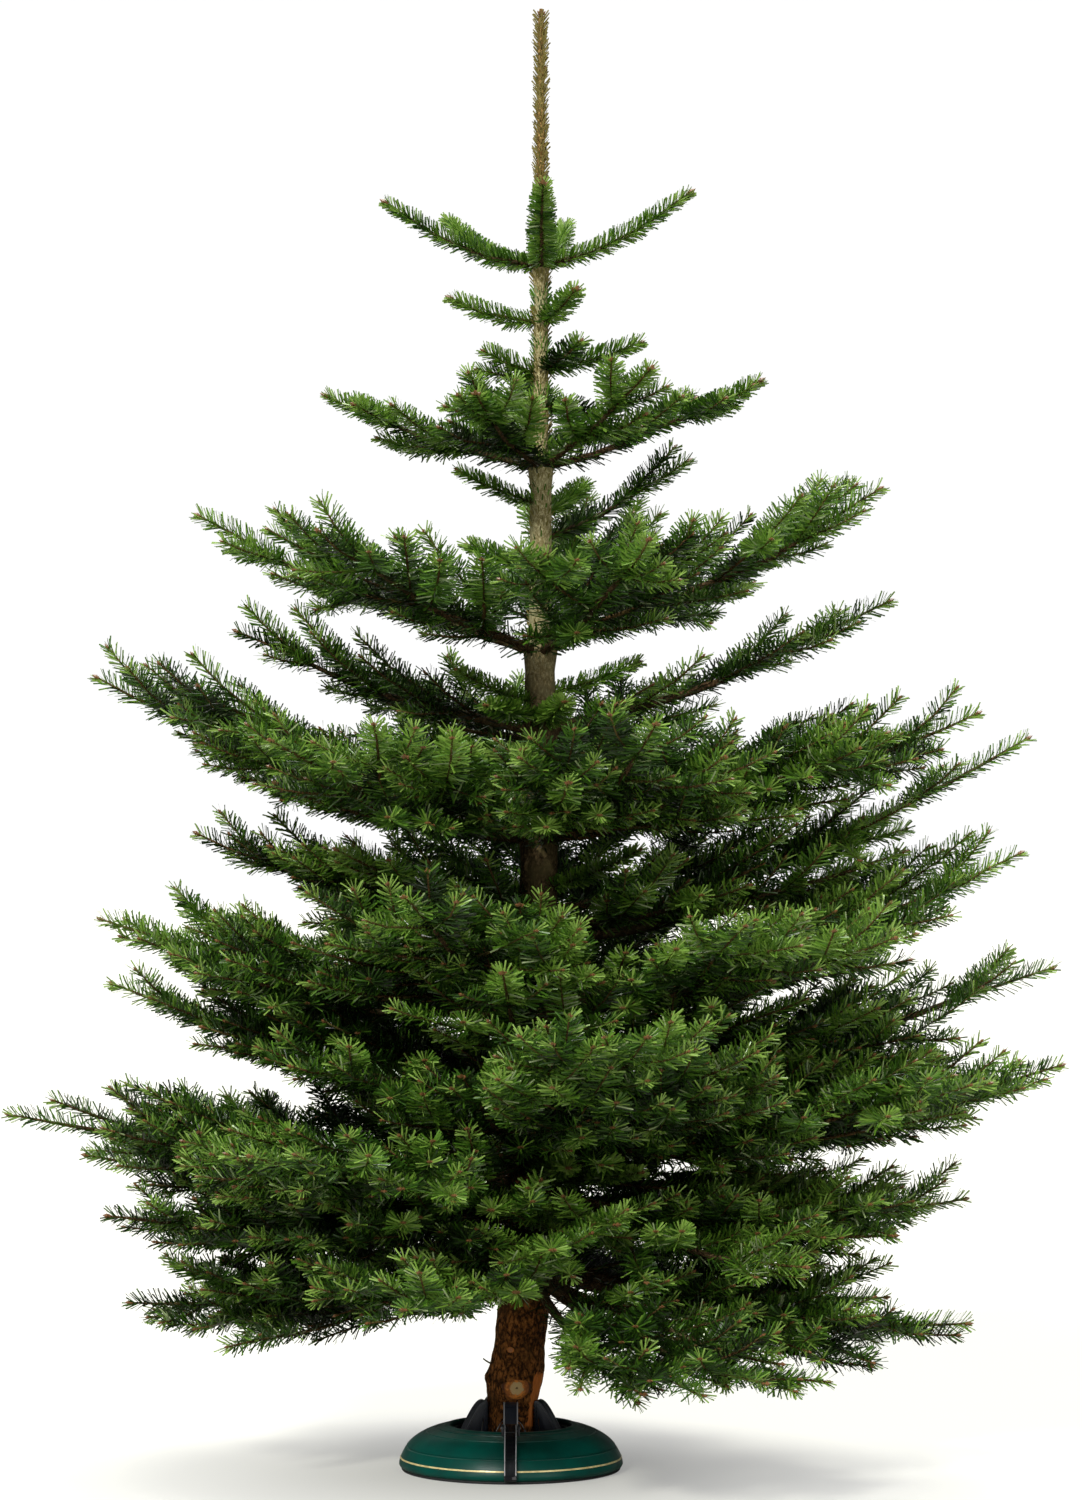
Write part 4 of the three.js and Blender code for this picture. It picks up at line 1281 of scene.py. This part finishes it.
def plate(name, outline, thickness, offset=0.0, edge=0.6, finish_pass=None):
    """A flat moulding along the upright plane through the stand's axis, with its thickness across
    that plane, in millimetres, and with rounded edges."""
    made = laid_out(name, outline, offset - thickness / 2, "NGON")
    bpy.ops.mesh.extrude_region_move(TRANSFORM_OT_translate={"value": (0, thickness / 1000, 0)})
    close_edit()
    bevel = made.modifiers.new("edges", "BEVEL")
    bevel.width = edge / 1000
    bevel.segments = 3
    bevel.limit_method = "ANGLE"
    bevel.angle_limit = math.radians(38)
    bpy.ops.object.modifier_apply(modifier=bevel.name)
    if finish_pass:
        bpy.ops.object.mode_set(mode="EDIT")
        finish_pass(made)
        bpy.ops.object.mode_set(mode="OBJECT")
    bpy.ops.object.shade_smooth_by_angle(angle=math.radians(32))
    return made


def compass_copy(source, name, compass):
    """A copy with its own mesh, turned about the upright axis."""
    made = bpy.data.objects.new(name, source.data.copy())
    made.data.transform(Matrix.Rotation(math.radians(compass), 4, "Z"))
    bpy.context.scene.collection.objects.link(made)
    return made


def joined(name, pieces):
    """Several objects made one."""
    bpy.ops.object.select_all(action="DESELECT")
    for piece in pieces:
        piece.select_set(True)
    bpy.context.view_layer.objects.active = pieces[0]
    bpy.ops.object.join()
    made = bpy.context.object
    made.name = name
    made.data.name = name
    return made


def steel_pin(place, radius, length, finish_ends):
    """A steel pin across the upright plane through the stand's axis, at (radius, height) in
    millimetres, with both its ends finished."""
    bpy.ops.object.select_all(action="DESELECT")
    bpy.ops.mesh.primitive_cylinder_add(vertices=24, radius=radius, depth=length,
                                        location=(place[0] / 1000, 0, place[1] / 1000),
                                        rotation=(math.pi / 2, 0, 0))
    made = bpy.context.object
    bpy.ops.object.transform_apply(location=True, rotation=True, scale=True)
    bpy.ops.object.mode_set(mode="EDIT")
    pick_faces(made, lambda face: len(face.verts) > 6)
    finish_ends()
    bpy.ops.object.mode_set(mode="OBJECT")
    bpy.ops.object.shade_smooth_by_angle(angle=math.radians(35))
    made.data.materials.append(steel)
    return made


def button_heads():
    """Each end of a pin spread into a low button."""
    bpy.ops.mesh.extrude_faces_move()
    bpy.ops.mesh.inset(thickness=-0.0011, depth=0)
    bpy.ops.mesh.extrude_region_shrink_fatten(TRANSFORM_OT_shrink_fatten={"value": -0.0014})


ring = spun("claw_ring", [(90.2, 42), (96.0, 42), (96.4, 42.6), (96.4, 64.0), (95.8, 64.7), (90.8, 64.7),
                          (90.2, 64.1)])
EAR = (rounded([(71, 45), (73, 42.4), (78, 42)], 3) + [(92, 42), (92, 57)]
       + rounded([(90, 60), (84, 61), (76, 60), (72, 56), (70.6, 50)], 3))
ear = plate("ear", EAR, EAR_THICKNESS, EAR_OFFSET, 0.7)
other_ear = plate("other_ear", EAR, EAR_THICKNESS, -EAR_OFFSET, 0.7)
steel = moulded_material("bright_steel", (0.42, 0.42, 0.43), 0.26, 0.0, depth=0.00003)
steel.node_tree.nodes["Principled BSDF"].inputs["Metallic"].default_value = 1.0
pin = steel_pin(PIVOT, 0.0034, 0.036, button_heads)
for piece in (ring, ear, other_ear):
    piece.data.materials.append(black_plastic)
parts = [ring]
for compass in CLAW_COMPASS:
    parts += [compass_copy(piece, "part", compass) for piece in (ear, other_ear, pin)]
for piece in (ear, other_ear, pin):
    bpy.data.objects.remove(piece)
ring = joined("claw_ring", parts)
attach(ring, "tree")
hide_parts("stand_claw_ring")


# ---------------------------------------------------------------- claws
# Five black moulded claws lean in on the trunk. Each is a thick fin on a pin, with a curved
# back, a shallow pocket in either side, teeth that bite the bark, and a steel pull wire.

TOOTH_RISE = 6.6
TEETH = [(r, z + TOOTH_RISE * k) for k in range(6) for r, z in ((42.8, 67), (41.2, 70.3))][::-1]
BACK = rounded([(72, 43.6), (79, 42.1), (85.4, 45.6), (87.2, 52), (82.6, 63), (74.6, 78), (65.6, 94),
                (58, 105), (51.6, 110.8), (46, 112.4), (42.4, 110.4)], 4)


def middle_strip(made, low, high, margin):
    """The outward faces down the middle of a plate between two heights, sunk as a channel."""
    def in_strip(face):
        """Whether a face is one of them."""
        at = face.calc_center_median()
        faces_out = len(face.verts) == 4 and face.normal.x > 0.1 and abs(at.y) < 0.002
        return faces_out and low < at.z * 1000 < high

    pick_faces(made, in_strip)
    bpy.ops.mesh.inset(thickness=margin, depth=0)
    bpy.ops.mesh.inset(thickness=0.0005, depth=-0.0013)


def pockets(made):
    """A sunk panel in each flat side and a channel down the curved back."""
    pick_faces(made, lambda face: len(face.verts) > 8)
    bpy.ops.mesh.inset(thickness=0.0026, depth=0, use_individual=True)
    bpy.ops.mesh.inset(thickness=0.0007, depth=-0.0016, use_individual=True, use_even_offset=False)
    middle_strip(made, 60, 107, 0.0016)


claw = plate("claw", [(42.4, 62), (60, 50.6)] + BACK + TEETH, CLAW_WIDTH, 0, 2.2, pockets)
slate_plastic = moulded_material("slate_plastic", (0.020, 0.024, 0.036), 0.34, 0.30,
                                 (0.11, 0.12, 0.14), 0.00008)
claw.data.materials.append(slate_plastic)
# the wire runs through the claw from side to side: radius, height and distance to the side
WIRE_RADIUS = 0.0009
WIRE = rounded([(63, 47, -36), (58, 62, -26), (51, 82, -14), (50, 85, 0), (51, 82, 14), (58, 62, 26),
                (63, 47, 36)], 6)
line = np.array([[(r, t, z) for r, z, t in WIRE]]) / 1000
points, faces = sticks(line, np.full(line.shape[:2], WIRE_RADIUS), 8)
wire = mesh_from("wire", points, faces, materials=[steel], smooth=True)
# the pale beads along both edges of the front claw and of the pedal are a painted highlight
painted_highlight = moulded_material("painted_highlight_edge", (0.48, 0.48, 0.50), 0.20, 0.0, depth=0.00002)


def painted_highlight_beads(name, outline, width, size):
    """A bead along each edge of a curved plate, in a pale paint that is a painted highlight."""
    line = np.array([[(r, side * width / 2, z) for r, z in outline] for side in (-1, 1)]) / 1000
    points, faces = sticks(line, np.full(line.shape[:2], size), 8)
    return mesh_from(name, points, faces, materials=[painted_highlight], smooth=True)


beads = painted_highlight_beads("beads", BACK[16:38], CLAW_WIDTH - 2.6, 0.0010)
for n, compass in enumerate(CLAW_COMPASS):
    # only the front claw, the one the camera faces, carries the beads of painted highlight
    pieces = (claw, wire, beads) if n == 0 else (claw, wire)
    made = joined(f"claw_{n + 1}", [compass_copy(piece, "claw_copy", compass) for piece in pieces])
    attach(made, f"claw_{n + 1}")
    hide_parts(f"stand_claw_{n + 1}")
for piece in (claw, wire, beads):
    bpy.data.objects.remove(piece)


# ---------------------------------------------------------------- foot pedal
# A glossy black pedal hangs down the front of the dome from a pin between two lugs on the rim.
# Pressing it works the claws. Its top is a channel between two raised edges.

PEDAL_PIN = (109.0, 80.0)  # radius and height of its pin
PEDAL_WIDTH = 20.0
BEADS_APART = 17.6
TOP = rounded([(104.4, 79), (105.2, 84.2), (109, 86), (118, 83), (136, 75), (154, 65), (170, 50),
               (180, 33), (185.4, 18), (187.6, 9.5)], 4)
UNDER = rounded([(186.4, 6.6), (181.8, 6.4), (180.5, 14), (177.5, 24), (169.5, 39), (156, 52),
                 (138.5, 62.5), (120.5, 70), (112, 74), (106, 75.6)], 3)


def channel(made):
    """The upper face sunk a little between its edges, in two lengths with a bar between them."""
    middle_strip(made, 46, 78, 0.0014)
    middle_strip(made, 14, 41, 0.0014)


pedal = plate("foot_pedal", TOP + UNDER, PEDAL_WIDTH, 0, 1.6, channel)
gloss_black = moulded_material("gloss_black", (0.007, 0.007, 0.009), 0.14, 0.06,
                               (0.10, 0.10, 0.10), 0.00005)
pedal.data.materials.append(gloss_black)
# the pale beads along the pedal's edges are a painted highlight
pedal = joined("foot_pedal", [pedal, painted_highlight_beads("pedal_beads", TOP[10:-3], BEADS_APART, 0.0009)])
pedal.data.transform(Matrix.Rotation(math.radians(FRONT), 4, "Z"))
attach(pedal, "pedal")
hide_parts("stand_pedal")


def chamfered_ends():
    """Each end of a pin raised a little inside a sloped rim."""
    bpy.ops.mesh.inset(thickness=0.0006, depth=0.0005, use_individual=True)


# the two lugs on the rim and the pin between them
LUG = rounded([(99, 70.5), (100.4, 78), (104, 84.6), (109, 86.2), (113.6, 84), (116.2, 77), (117, 67)], 3)
LUG_THICKNESS = 4.0
LUG_OFFSET = PEDAL_WIDTH / 2 + 2.6
lugs = [plate("lug", LUG, LUG_THICKNESS, side * LUG_OFFSET, 0.8) for side in (-1, 1)]
hinge_pin = steel_pin(PEDAL_PIN, 0.0033, 0.0305, chamfered_ends)
for piece in lugs:
    piece.data.materials.append(black_plastic)
hinge = joined("pedal_hinge", lugs + [hinge_pin])
hinge.data.transform(Matrix.Rotation(math.radians(FRONT), 4, "Z"))
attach(hinge, "tree")


# ---------------------------------------------------------------- end
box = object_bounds()
